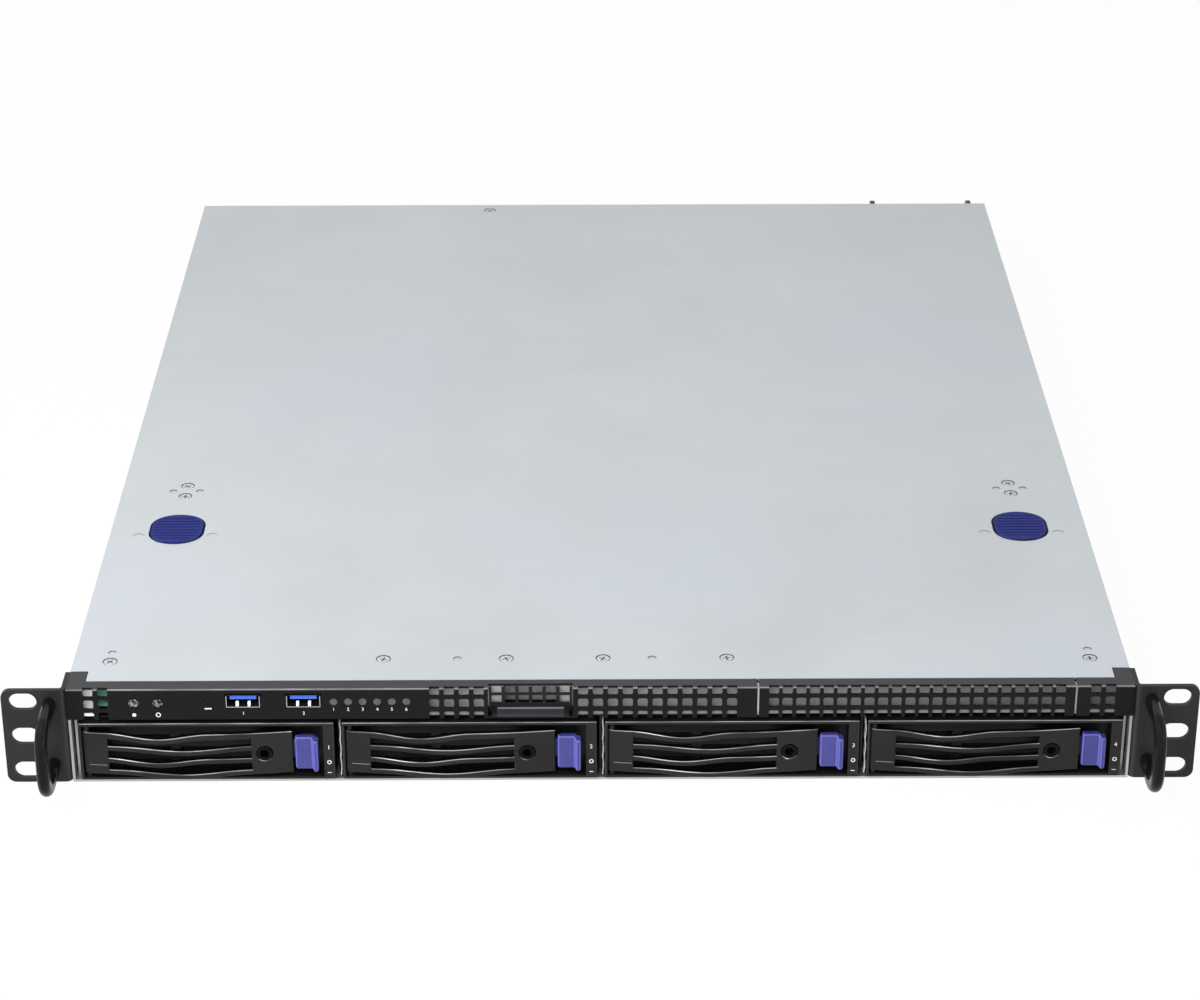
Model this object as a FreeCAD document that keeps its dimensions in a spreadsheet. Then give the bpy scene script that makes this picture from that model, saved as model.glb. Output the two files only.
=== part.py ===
import FreeCAD, Part
import math
import os
import re

import Sketcher
from FreeCAD import Placement, Rotation, Vector

# A 1U rack server with four hot-swap drive bays, in millimetres.
# X runs to the right seen from the front, Y from the front to the back, Z up.
# The origin is on the underside, centred, in the plane of the rack ears' rear faces.

doc = FreeCAD.newDocument("RackServer")
sheet = doc.addObject("Spreadsheet::Sheet", "Dims")

SIZES = {
    # Shell
    "body_width": 430.0,
    "body_height": 43.4,
    "body_depth": 537.0,
    "sheet_gauge": 1.0,
    "lip_width": 7.0,
    "cover_sheet": 1.0,
    "cover_drop": 9.0,
    "slide_fit": 0.3,
    # Rack ears and handles
    "ear_span": 482.6,
    "ear_thickness": 2.0,
    "ear_bottom": 0.6,
    "ear_height": 42.7,
    "ear_corner": 3.6,
    "ear_bend": 3.0,
    "ear_flange_depth": 15.0,
    "slot_span": 465.1,
    "slot_pitch": 15.875,
    "slot_height": 22.2,
    "slot_length": 11.2,
    "slot_width": 7.6,
    "handle_offset": 222.0,
    "handle_reach": 24.5,
    "handle_low": 8.5,
    "handle_high": 36.5,
    "handle_bend": 9.0,
    "bar_width": 5.0,
    "bar_depth": 7.0,
    "screw_shank": 1.5,
    "screw_head": 2.8,
    "screw_length": 9.0,
    "screw_fit": 0.1,
    "flange_screw_setback": 10.0,
    "flange_screw_low": 10.0,
    "flange_screw_high": 25.0,
    # Front panel
    "panel_bottom": 29.6,
    "panel_sheet": 1.0,
    "panel_bend": 0.9,
    "panel_flange": 7.0,
    "panel_shelf": 10.0,
    "panel_seam": 0.3,
    "tab_width": 7.0,
    "tab_depth": 15.0,
    "vent_size": 4.1,
    "vent_corner": 0.6,
    "vent_pitch": 6.0,
    "vent_row_pitch": 5.6,
    "vent_wrap": 2.0,
    "vent_end_left": -206.3,
    "vent_left": -67.1,
    "vent_middle": -7.1,
    "vent_end_right": 199.4,
    "id_place": -188.0,
    "power_place": -178.3,
    "button_height": 37.2,
    "button_cap": 2.05,
    "button_proud": 0.2,
    "button_crown": 0.8,
    "button_travel": 0.7,
    "button_flange": 3.3,
    "button_fit": 0.3,
    "reset_place": -158.1,
    "reset_height": 38.0,
    "reset_pin": 0.8,
    "usb_place": -144.0,
    "usb_pitch": 24.3,
    "usb_width": 13.7,
    "usb_height": 5.8,
    "usb_depth": 14.0,
    "usb_wall": 0.35,
    "led_place": -107.6,
    "led_pitch": 5.86,
    "led_height": 37.4,
    "led_radius": 1.55,
    "board_gauge": 1.6,
    "front_board_left": -203.2,
    "front_board_right": -70.0,
    "front_board_top": 35.2,
    "front_board_depth": 40.0,
    # Filler of the slim optical bay
    "filler_place": 127.5,
    "filler_width": 127.2,
    "filler_gap": 0.9,
    "filler_pitch": 5.5,
    "filler_return": 14.0,
    # Pull-out service tag
    "tag_place": -28.3,
    "tag_width": 33.4,
    "tag_gap": 0.4,
    "tag_recess": 3.0,
    "tag_pitch": 5.5,
    "tag_length": 74.0,
    "tag_lip": 4.2,
    "tag_lip_rise": 2.2,
    "tag_lip_edge": 1.2,
    "tag_lip_margin": 1.2,
    "tag_gauge": 0.8,
    # Drive bays
    "bay_pitch": 106.4,
    "cage_half": 213.4,
    "cage_top": 29.3,
    "cage_setback": 6.0,
    "cage_depth": 164.0,
    "divider_setback": 2.0,
    "tray_width": 103.0,
    "tray_bottom": 1.3,
    "tray_top": 27.6,
    "bezel_depth": 12.0,
    "bezel_wall": 1.0,
    "bezel_rail": 1.2,
    "bezel_round": 0.5,
    "bezel_back": 3.0,
    "air_slot_first": 16.4,
    "air_slot_pitch": 5.75,
    "air_slot_height": 2.2,
    "air_slot_length": 24.0,
    "air_slot_gap": 4.0,
    "label_width": 4.3,
    "sled_length": 151.0,
    "sled_gauge": 0.6,
    "sled_height": 17.0,
    "sled_flange": 8.0,
    "drive_width": 101.6,
    "drive_length": 147.0,
    "drive_height": 26.1,
    "drive_setback": 14.0,
    # Tray lever, its lock and its latch
    "lever_start": 1.2,
    "lever_length": 85.0,
    "lever_bottom": 4.2,
    "lever_top": 23.5,
    "lever_gauge": 2.4,
    "lever_bow": 2.6,
    "lever_inset": 0.4,
    "barrel_radius": 1.7,
    "pin_radius": 1.0,
    "pin_fit": 0.1,
    "gill_start": 10.2,
    "gill_length": 58.2,
    "gill_height": 3.3,
    "gill_pitch": 5.5,
    "gill_top": 20.75,
    "lever_dip": 2.3,
    "wave_dip": 1.9,
    "wave_small_dip": 1.65,
    "wave_place": 30.3,
    "wave_late_place": 41.0,
    "wave_half": 21.0,
    "wave_late_half": 26.0,
    "lock_place": 73.6,
    "lock_height": 13.8,
    "lock_radius": 3.1,
    "lock_fit": 0.2,
    "lock_boss": 4.9,
    "lock_hex": 2.1,
    "latch_start": 87.2,
    "latch_width": 9.5,
    "latch_bottom": 6.4,
    "latch_top": 21.1,
    "latch_gauge": 2.8,
    "latch_ridge": 2.2,
    "latch_proud": 2.0,
    "latch_drop": 0.4,
    "latch_round": 0.9,
    "stem_margin": 1.2,
    "stem_height": 8.0,
    "latch_travel": 2.0,
    # Backplane and fans
    "backplane_width": 410.0,
    "backplane_low": 3.0,
    "backplane_high": 28.0,
    "fan_size": 40.0,
    "fan_depth": 28.0,
    "fan_setback": 186.0,
    "fan_first": -176.0,
    "fan_pitch": 78.0,
    "fan_duct": 19.0,
    "fan_hub": 11.5,
    "fan_blade": 17.2,
    "fan_blade_chord": 14.0,
    # Main board
    "main_left": -206.0,
    "main_width": 304.0,
    "main_depth": 244.0,
    "main_gap": 2.0,
    "main_clear": 6.0,
    "standoff_height": 5.0,
    "standoff_radius": 3.0,
    "cpu_place": 14.0,
    "cpu_setback": 380.0,
    "sink_width": 78.0,
    "sink_base": 4.0,
    "sink_top": 39.0,
    "fin_gauge": 0.9,
    "fin_pitch": 3.67,
    "socket_height": 6.4,
    "dimm_first": -88.0,
    "dimm_pitch": 9.6,
    "dimm_length": 133.35,
    "dimm_height": 31.25,
    "dimm_setback": 312.0,
    # Rear wall
    "io_left": -60.0,
    "io_right": 98.0,
    "io_low": 7.0,
    "io_high": 39.0,
    "shield_gauge": 0.5,
    "jack_width": 16.0,
    "jack_height": 13.4,
    "jack_depth": 18.0,
    "jack_first": 14.0,
    "jack_pitch": 18.0,
    "port_stand": 0.6,
    "port_fit": 0.4,
    "slot_left": -205.0,
    "slot_right": -98.0,
    "slot_low": 21.0,
    "slot_high": 37.0,
    # Power supplies
    "psu_left": 106.2,
    "psu_width": 52.8,
    "psu_pitch": 53.4,
    "psu_bottom": 1.3,
    "psu_height": 39.6,
    "psu_depth": 190.0,
    "psu_cage_depth": 200.0,
    "psu_sheet": 0.8,
    "inlet_offset": 18.5,
    "inlet_width": 24.5,
    "inlet_height": 16.5,
    "inlet_low": 18.5,
    "inlet_depth": 17.0,
    "grip_offset": 49.0,
    "grip_width": 2.4,
    "grip_bar": 3.4,
    "grip_reach": 26.0,
    "grip_low": 7.0,
    "grip_high": 36.8,
    # Top cover
    "release_place": 186.0,
    "release_setback": 142.5,
    "release_diameter": 26.8,
    "release_width": 22.6,
    "release_corner": 10.0,
    "release_rim": 1.3,
    "release_fit": 0.4,
    "release_proud": 0.5,
    "release_pitch": 2.7,
    "release_groove": 0.7,
    "release_groove_depth": 0.5,
    "cover_screw": 3.0,
    "cover_screw_depth": 0.6,
    "dimple": 1.8,
    "dimple_depth": 0.4,
    "stud_mark": 2.6,
    "stud_mark_depth": 0.2,
    "stud_spread": 16.2,
    "stud_advance": 6.4,
}

for row, (name, size) in enumerate(SIZES.items(), 1):
    sheet.set(f"A{row}", name)
    sheet.set(f"B{row}", str(size))
    sheet.setAlias(f"B{row}", name)
doc.recompute()

NODES = {}

# Planes and edges that many pieces share, worked out from the driving sizes
FRONT = "(0 - ear_thickness)"
REAR = f"({FRONT} + body_depth)"
HALF = "(body_width / 2)"
ROOF = "(body_height - cover_sheet)"
STEP = "(body_height - cover_drop - slide_fit)"
INSET = "(cover_sheet + slide_fit)"
PANEL_BACK = f"({FRONT} + panel_sheet)"
ROW_MIDDLE = "((panel_bottom + body_height) / 2)"


def formula(text):
    def cell(word):
        return "Dims." + word.group() if word.group() in SIZES else word.group()
    return re.sub(r"[a-z][a-z_]*", cell, str(text))


def value(text):
    return float(sheet.evalExpression(formula(text)))


def bind(item, sizes):
    for name, text in sizes.items():
        item.setExpression(name, formula(text))
    return item


def keep(label, item):
    item.Label = label
    NODES[label] = item
    return item


# Solids bound to the sheet

TURNS = {
    "X": Rotation(Vector(0, 1, 0), 90),
    "Y": Rotation(Vector(1, 0, 0), -90),
    "Z": Rotation(),
}


def at(x, y, z):
    return {"Placement.Base.x": x, "Placement.Base.y": y, "Placement.Base.z": z}


def box(x, y, z):
    item = doc.addObject("Part::Box", "Block")
    sides = {side: f"({high}) - ({low})"
             for side, (low, high) in zip(("Length", "Width", "Height"), (x, y, z))}
    return bind(item, {**sides, **at(x[0], y[0], z[0])})


def block(x, y, z, wide, deep, tall):
    return box((f"{x} - ({wide}) / 2", f"{x} + ({wide}) / 2"),
               (y, f"{y} + {deep}"), (z, f"{z} + {tall}"))


def rod(axis, radius, start, length):
    item = doc.addObject("Part::Cylinder", "Rod")
    item.Placement = Placement(Vector(), TURNS[axis])
    return bind(item, {"Radius": radius, "Height": length, **at(*start)})


def taper(axis, radius, end_radius, start, length):
    item = doc.addObject("Part::Cone", "Taper")
    item.Placement = Placement(Vector(), TURNS[axis])
    return bind(item, {"Radius1": radius, "Radius2": end_radius, "Height": length, **at(*start)})


def joined(kind, field, items):
    item = doc.addObject(kind, "Joined")
    setattr(item, field, items)
    return item


def fuse(*items):
    return joined("Part::MultiFuse", "Shapes", list(items))


def common(*items):
    return joined("Part::MultiCommon", "Shapes", list(items))


def group(*items):
    return joined("Part::Compound", "Links", list(items))


def cut(base, *tools):
    item = doc.addObject("Part::Cut", "Cut")
    item.Base = base
    item.Tool = tools[0] if len(tools) == 1 else group(*tools)
    return item


def rounded(base, radius, chosen):
    doc.recompute()
    item = doc.addObject("Part::Fillet", "Rounded")
    item.Base = base
    size = value(radius)
    item.Edges = [(number, size, size) for number, edge in enumerate(base.Shape.Edges, 1) if chosen(edge)]
    return item


# Sketched bodies bound to the sheet

def new_body(label):
    return keep(label, doc.addObject("PartDesign::Body", label))


def datum(body, role):
    return next(item for item in body.Origin.OriginFeatures if item.Role == role)


def sketch(body, role, offset):
    item = body.newObject("Sketcher::SketchObject", "Sketch")
    item.AttachmentSupport = [(datum(body, role), "")]
    item.MapMode = "FlatFace"
    return bind(item, {"AttachmentOffset.Base.z": offset})


def front_view(body, y):
    return sketch(body, "XZ_Plane", f"0 - ({y})")


def plan_view(body, z):
    return sketch(body, "XY_Plane", z)


def side_view(body, x):
    return sketch(body, "YZ_Plane", x)


def fix(profile, kind, places, text):
    number = profile.addConstraint(Sketcher.Constraint(kind, *places, value(text)))
    label = f"size_{number}"
    profile.renameConstraint(number, label)
    profile.setExpression(f"Constraints.{label}", formula(text))


def pin_down(profile, geometry, end, u, v):
    fix(profile, "DistanceX", (-1, 1, geometry, end), u)
    fix(profile, "DistanceY", (-1, 1, geometry, end), v)


def outline(profile, points):
    places = [Vector(value(u), value(v), 0) for u, v in points]
    first = profile.GeometryCount
    count = len(points)
    for i in range(count):
        profile.addGeometry(Part.LineSegment(places[i], places[(i + 1) % count]))
    for i in range(count):
        profile.addConstraint(Sketcher.Constraint("Coincident", first + i, 2, first + (i + 1) % count, 1))
    for i, (u, v) in enumerate(points):
        pin_down(profile, first + i, 1, u, v)


def rect(profile, u, v):
    outline(profile, [(u[0], v[0]), (u[1], v[0]), (u[1], v[1]), (u[0], v[1])])


def ring(profile, u, v, radius):
    circle = Part.Circle(Vector(value(u), value(v), 0), Vector(0, 0, 1), value(radius))
    number = profile.addGeometry(circle)
    pin_down(profile, number, 3, u, v)
    fix(profile, "Radius", (number,), radius)


def hexagon(profile, u, v, radius):
    turns = [math.pi / 3 * i for i in range(6)]
    outline(profile, [(f"{u} + {math.cos(turn):.4f} * {radius}", f"{v} + {math.sin(turn):.4f} * {radius}")
                      for turn in turns])


# A slot with round ends: reach is from the middle to each round end's centre, along u or v
def obround(profile, u, v, reach, radius, upright=False):
    middle = Vector(value(u), value(v), 0)
    along = Vector(0, 1, 0) if upright else Vector(1, 0, 0)
    low, high = (middle + along * (side * value(reach)) for side in (-1, 1))
    size = value(radius)
    turn = math.atan2(along.y, along.x)
    normal = Vector(0, 0, 1)
    first = profile.addGeometry(Part.ArcOfCircle(Part.Circle(low, normal, size),
                                                 turn + math.pi / 2, turn + 3 * math.pi / 2))
    profile.addGeometry(Part.ArcOfCircle(Part.Circle(high, normal, size),
                                         turn - math.pi / 2, turn + math.pi / 2))
    side = Vector(-along.y, along.x, 0) * size
    profile.addGeometry(Part.LineSegment(low + side, high + side))
    profile.addGeometry(Part.LineSegment(low - side, high - side))
    for arc, end, line, line_end in ((0, 1, 2, 1), (0, 2, 3, 1), (1, 2, 2, 2), (1, 1, 3, 2)):
        profile.addConstraint(Sketcher.Constraint("Tangent", first + arc, end, first + line, line_end))
    profile.addConstraint(Sketcher.Constraint("Equal", first, first + 1))
    for number, sign in ((first, "-"), (first + 1, "+")):
        shift = f"{sign} ({reach})"
        pin_down(profile, number, 3, u if upright else f"{u} {shift}", f"{v} {shift}" if upright else v)
    fix(profile, "Radius", (first,), radius)


def feature(body, kind, profile, length, flip):
    item = body.newObject(kind, "Step")
    item.Profile = profile
    bind(item, {"Length": length})
    item.Reversed = flip
    body.Tip = item
    return item


def pad(body, profile, length, flip=False):
    return feature(body, "PartDesign::Pad", profile, length, flip)


def pocket(body, profile, length, flip=False):
    return feature(body, "PartDesign::Pocket", profile, length, flip)


def round_body(body, radius, chosen):
    doc.recompute()
    base = body.Tip
    picked = [f"Edge{i}" for i, edge in enumerate(base.Shape.Edges, 1) if chosen(edge)]
    item = body.newObject("PartDesign::Fillet", "Round")
    item.Base = (base, picked)
    bind(item, {"Radius": radius})
    body.Tip = item


# True for an edge whose two ends both lie at the places that are given
def lies_at(edge, x=None, y=None, z=None):
    ends = [vertex.Point for vertex in edge.Vertexes]
    wanted = [(i, value(text)) for i, text in enumerate((x, y, z)) if text is not None]
    return len(ends) == 2 and all(abs(end[i] - size) < 0.01 for end in ends for i, size in wanted)


def row_along_x(body, step, pitch, count):
    item = body.newObject("PartDesign::LinearPattern", "Row")
    item.Originals = [step]
    item.Direction = (datum(body, "X_Axis"), [""])
    bind(item, {"Length": f"{pitch} * {count - 1}"})
    item.Occurrences = count
    body.Tip = item
    return item


# Shell

def wall_profile(side):
    return [(f"{side} * {u}", v) for u, v in (
        (HALF, "0"),
        (HALF, STEP),
        (f"({HALF} - {INSET})", STEP),
        (f"({HALF} - {INSET})", ROOF),
        (f"({HALF} - lip_width)", ROOF),
        (f"({HALF} - lip_width)", f"{ROOF} - sheet_gauge"),
        (f"({HALF} - {INSET} - sheet_gauge)", f"{ROOF} - sheet_gauge"),
        (f"({HALF} - {INSET} - sheet_gauge)", f"{STEP} - sheet_gauge"),
        (f"({HALF} - sheet_gauge)", f"{STEP} - sheet_gauge"),
        (f"({HALF} - sheet_gauge)", "sheet_gauge"),
    )]


STANDOFF_ROWS = ("10", "main_depth / 2", "main_depth - 10")
PSU_SIDE = "(psu_left - slide_fit - psu_sheet)"
PSU_FRONT = f"({REAR} - psu_cage_depth)"
BOARD_LIMIT = f"min(main_left + main_width; {PSU_SIDE} - main_clear)"
STANDOFF_COLUMNS = ("main_left + 10", "main_left + main_width / 2 - 20", f"{BOARD_LIMIT} - 10")
MAIN_BACK = f"({REAR} - sheet_gauge - main_gap)"
MAIN_FRONT = f"({MAIN_BACK} - main_depth)"
MAIN_TOP = "(sheet_gauge + standoff_height + board_gauge)"
PSU_RIGHT = "(psu_left + psu_pitch + psu_width)"


def make_chassis():
    body = new_body("chassis_tray")
    shell = front_view(body, PANEL_BACK)
    outline(shell, wall_profile("1") + wall_profile("-1")[::-1])
    pad(body, shell, f"{REAR} - {PANEL_BACK}", flip=True)
    back = front_view(body, f"{REAR} - sheet_gauge")
    rect(back, (f"{INSET} - {HALF}", f"{HALF} - {INSET}"), ("0", ROOF))
    pad(body, back, "sheet_gauge", flip=True)
    windows = front_view(body, f"{REAR} - 2 * sheet_gauge")
    rect(windows, ("io_left", "io_right"), ("io_low", "io_high"))
    rect(windows, ("slot_left + 3", "slot_right - 3"), ("slot_low + 2", "slot_high - 2"))
    rect(windows, ("psu_left - slide_fit", f"{PSU_RIGHT} + slide_fit / 2"),
         ("sheet_gauge", "psu_bottom + psu_height + slide_fit"))
    pocket(body, windows, "3 * sheet_gauge")
    breather = front_view(body, f"{REAR} - 2 * sheet_gauge")
    rect(breather, ("slot_left + 3", "slot_left + 7"), ("slot_low / 2 - 4", "slot_low / 2 + 6"))
    row_along_x(body, pocket(body, breather, "3 * sheet_gauge"), "7", 15)
    studs = plan_view(body, "sheet_gauge")
    for across in STANDOFF_COLUMNS:
        for along in STANDOFF_ROWS:
            hexagon(studs, across, f"{MAIN_FRONT} + {along}", "standoff_radius")
    pad(body, studs, "standoff_height")
    for side in ("-1", "1"):
        holes = side_view(body, f"{side} * ({HALF} + 1)")
        for height in ("flange_screw_low", "flange_screw_high"):
            ring(holes, f"{FRONT} + flange_screw_setback", height, "screw_shank + screw_fit")
        pocket(body, holes, "2 + sheet_gauge", flip=side == "-1")


def make_cover():
    body = new_body("top_cover")
    top = plan_view(body, ROOF)
    near = f"({FRONT} + panel_flange + panel_seam)"
    notch = f"({FRONT} + tab_depth + panel_seam)"
    inner = f"({HALF} - tab_width - panel_seam)"
    outline(top, [(f"0 - {inner}", near), (inner, near), (inner, notch), (HALF, notch),
                  (HALF, REAR), (f"0 - {HALF}", REAR), (f"0 - {HALF}", notch), (f"0 - {inner}", notch)])
    pad(body, top, "cover_sheet")
    flanges = plan_view(body, ROOF)
    for side in ("-1", "1"):
        rect(flanges, (f"{side} * ({HALF} - cover_sheet)", f"{side} * {HALF}"), (notch, REAR))
    pad(body, flanges, "cover_drop - cover_sheet", flip=True)
    seats = plan_view(body, "body_height")
    for x, y in COVER_SCREWS:
        ring(seats, x, f"{FRONT} + {y}", "cover_screw + screw_fit")
    pocket(body, seats, "cover_screw_depth")
    dents = plan_view(body, "body_height")
    for x, y in COVER_DIMPLES:
        ring(dents, x, f"{FRONT} + {y}", "dimple")
    pocket(body, dents, "dimple_depth")
    studs = plan_view(body, "body_height")
    for x, y in COVER_STUDS:
        ring(studs, x, f"{FRONT} + {y}", "stud_mark")
    pocket(body, studs, "stud_mark_depth")
    windows = [release_prism(side, "release_fit", ROOF, "-1", "cover_sheet + 1") for side in ("-1", "1")]
    doc.recompute()
    cover = cut(body, *windows)
    NODES.pop("top_cover")
    body.Label = "cover_sheet_body"
    keep("top_cover", cover)


def is_upright(edge):
    ends = edge.Vertexes
    return len(ends) == 2 and abs(ends[0].X - ends[1].X) + abs(ends[0].Y - ends[1].Y) < 0.01


# The release buttons are discs with two flats and soft corners; grow moves the whole outline outwards
def release_prism(side, grow, height, below, tall):
    x = f"{side} * release_place"
    y = f"{FRONT} + release_setback"
    z = f"{height} + {below}"
    disc = rod("Z", f"release_diameter / 2 + {grow}", (x, y, z), tall)
    flats = block(x, f"{y} - release_diameter", z, f"release_width + 2 * ({grow})",
                  "2 * release_diameter", tall)
    return rounded(common(disc, flats), f"release_corner + {grow}", is_upright)


COVER_SCREWS = [(f"{side} * release_place", setback)
                for side in ("-1", "1") for setback in ("175.5", "186")]
COVER_SCREWS += [(place, "24.8") for place in ("-88.6", "-38.4", "1.1", "51.7")]
COVER_SCREWS += [("-200", "23.5"), ("200", "23.5"), ("-57.6", "body_depth - 8")]
COVER_DIMPLES = [("-58.4", "24.8"), ("21.1", "24.8"), ("-200", "30.8"), ("200", "30.8")]
COVER_DIMPLES += [(f"{side} * release_place + {shift}", setback) for side in ("-1", "1")
                  for shift, setback in (("-6", "180.5"), ("6", "180.5"))]
COVER_STUDS = [(f"{side} * release_place + {shift} * stud_spread", "release_setback - stud_advance")
               for side in ("-1", "1") for shift in ("-1", "1")]
RELEASE_RIDGES = 8


def make_cover_fittings():
    heads = [rod("Z", "cover_screw", (x, f"{FRONT} + {y}", "body_height - cover_screw_depth"),
                 "cover_screw_depth - 0.05") for x, y in COVER_SCREWS]
    keep("cover_screws", group(*heads))
    for label, side in (("cover_button_left", "-1"), ("cover_button_right", "1")):
        cap = release_prism(side, "0", ROOF, "0", "cover_sheet + release_proud")
        shelf = release_prism(side, "3", ROOF, "0 - slide_fit - 1.2", "1.2")
        neck = release_prism(side, "0", ROOF, "0 - slide_fit", "slide_fit")
        grooves = [block(f"{side} * release_place",
                         f"{FRONT} + release_setback + {i - (RELEASE_RIDGES - 1) / 2} * release_pitch"
                         " - release_groove / 2", "body_height + release_proud - release_groove_depth",
                         "release_width", "release_groove", "2 * release_groove_depth")
                   for i in range(RELEASE_RIDGES)]
        face = release_prism(side, "0 - release_rim", ROOF, "0", "cover_sheet + 2 * release_proud")
        keep(label, cut(fuse(cap, neck, shelf), common(group(*grooves), face)))


# Ears and handles

def make_ear(label, side):
    body = new_body(label)
    inner = f"{side} * {HALF}"
    outer = f"{side} * ear_span / 2"
    height = ("ear_bottom", "ear_bottom + ear_height")
    plate = front_view(body, FRONT)
    rect(plate, (inner, outer), height)
    pad(body, plate, "ear_thickness", flip=True)
    flange = front_view(body, FRONT)
    rect(flange, (inner, f"{inner} + {side} * ear_thickness"), height)
    pad(body, flange, "ear_flange_depth", flip=True)
    inside = f"{inner} + {side} * ear_thickness"
    round_body(body, "ear_bend", lambda edge: lies_at(edge, x=inner, y=FRONT))
    back = f"{FRONT} + ear_thickness"
    round_body(body, "ear_bend - ear_thickness", lambda edge: lies_at(edge, x=inside, y=back))
    slots = front_view(body, f"{FRONT} - 1")
    for step in (-1, 0, 1):
        obround(slots, f"{side} * slot_span / 2", f"slot_height + {step} * slot_pitch",
                "(slot_length - slot_width) / 2", "slot_width / 2")
    pocket(body, slots, "ear_thickness + 2")
    for height in ("handle_low", "handle_high"):
        hole = front_view(body, FRONT)
        ring(hole, f"{side} * handle_offset", height, "screw_shank + screw_fit")
        pocket(body, hole, "ear_thickness + 1")
    screws = side_view(body, f"{inner} + {side} * ear_thickness")
    for height in ("flange_screw_low", "flange_screw_high"):
        ring(screws, f"{FRONT} + flange_screw_setback", height, "screw_shank + screw_fit")
    pocket(body, screws, "ear_thickness + 1", flip=side == "-1")
    round_body(body, "ear_corner", lambda edge: lies_at(edge, x=outer)
               and abs(edge.Vertexes[0].Y - edge.Vertexes[1].Y) > 0.5)
    sinks = [taper("Y", "screw_shank + screw_fit", "screw_head",
                   (f"{side} * handle_offset", "0 - ear_thickness + 0.6", height), "ear_thickness - 0.6")
             for height in ("handle_low", "handle_high")]
    wells = [taper("X", "screw_shank + screw_fit", "screw_head",
                   (f"{inner} + {side} * 0.6", f"{FRONT} + flange_screw_setback", height),
                   "ear_thickness - 0.6") for height in ("flange_screw_low", "flange_screw_high")]
    if side == "-1":
        for well in wells:
            well.Placement = Placement(well.Placement.Base, Rotation(Vector(0, 1, 0), -90))
    ear = cut(body, *sinks, *wells)
    body.Label = f"{label}_blank"
    keep(label, ear)


def make_handle(label, side):
    body = new_body(label)
    path = side_view(body, f"{side} * handle_offset")
    reach = f"{FRONT} - handle_reach"
    near, far = value(FRONT), value(reach)
    low, high, bend = value("handle_low"), value("handle_high"), value("handle_bend")
    normal = Vector(0, 0, 1)
    quarter = math.pi / 2
    path.addGeometry(Part.LineSegment(Vector(near, high, 0), Vector(far + bend, high, 0)))
    path.addGeometry(Part.ArcOfCircle(Part.Circle(Vector(far + bend, high - bend, 0), normal, bend),
                                      quarter, 2 * quarter))
    path.addGeometry(Part.LineSegment(Vector(far, high - bend, 0), Vector(far, low + bend, 0)))
    path.addGeometry(Part.ArcOfCircle(Part.Circle(Vector(far + bend, low + bend, 0), normal, bend),
                                      2 * quarter, 3 * quarter))
    path.addGeometry(Part.LineSegment(Vector(far + bend, low, 0), Vector(near, low, 0)))
    for first, end, second, start in ((0, 2, 1, 1), (1, 2, 2, 1), (2, 2, 3, 1), (3, 2, 4, 1)):
        path.addConstraint(Sketcher.Constraint("Tangent", first, end, second, start))
    path.addConstraint(Sketcher.Constraint("Horizontal", 0))
    path.addConstraint(Sketcher.Constraint("Vertical", 2))
    path.addConstraint(Sketcher.Constraint("Horizontal", 4))
    path.addConstraint(Sketcher.Constraint("Equal", 1, 3))
    pin_down(path, 0, 1, FRONT, "handle_high")
    pin_down(path, 4, 2, FRONT, "handle_low")
    fix(path, "Radius", (1,), "handle_bend")
    fix(path, "DistanceX", (-1, 1, 2, 1), reach)
    section = front_view(body, FRONT)
    obround(section, f"{side} * handle_offset", "handle_high", "(bar_depth - bar_width) / 2",
            "bar_width / 2", upright=True)
    doc.recompute()
    pipe = body.newObject("PartDesign::AdditivePipe", "Bar")
    pipe.Profile = section
    pipe.Spine = (path, [f"Edge{i}" for i in range(1, 6)])
    body.Tip = pipe
    tapped = front_view(body, FRONT)
    for height in ("handle_low", "handle_high"):
        ring(tapped, f"{side} * handle_offset", height, "screw_shank + screw_fit")
    pocket(body, tapped, "screw_length - ear_thickness + 0.5", flip=True)


def make_ear_screws():
    screws = []
    for side in ("-1", "1"):
        for height in ("handle_low", "handle_high"):
            place = f"{side} * handle_offset"
            shank = rod("Y", "screw_shank", (place, "0 - screw_length", height), "screw_length - 0.5")
            head = taper("Y", "screw_shank", "screw_head - screw_fit",
                         (place, "0 - ear_thickness + 0.6", height), "ear_thickness - 0.6")
            screws.append(fuse(shank, head))
        for height in ("flange_screw_low", "flange_screw_high"):
            setback = f"{FRONT} + flange_screw_setback"
            start = f"{side} * ({HALF} + 0.6)"
            inside = f"{side} * ({HALF} - sheet_gauge)"
            shank = rod("X", "screw_shank", (inside, setback, height), "sheet_gauge + 0.7")
            head = taper("X", "screw_shank", "screw_head - screw_fit", (start, setback, height),
                         "ear_thickness - 0.6")
            if side == "-1":
                for item in (shank, head):
                    item.Placement = Placement(item.Placement.Base, Rotation(Vector(0, 1, 0), -90))
            screws.append(fuse(shank, head))
    keep("ear_screws", group(*screws))


# Front panel and what shows through it

VENT_ROWS = (1, 0, -1)


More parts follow.
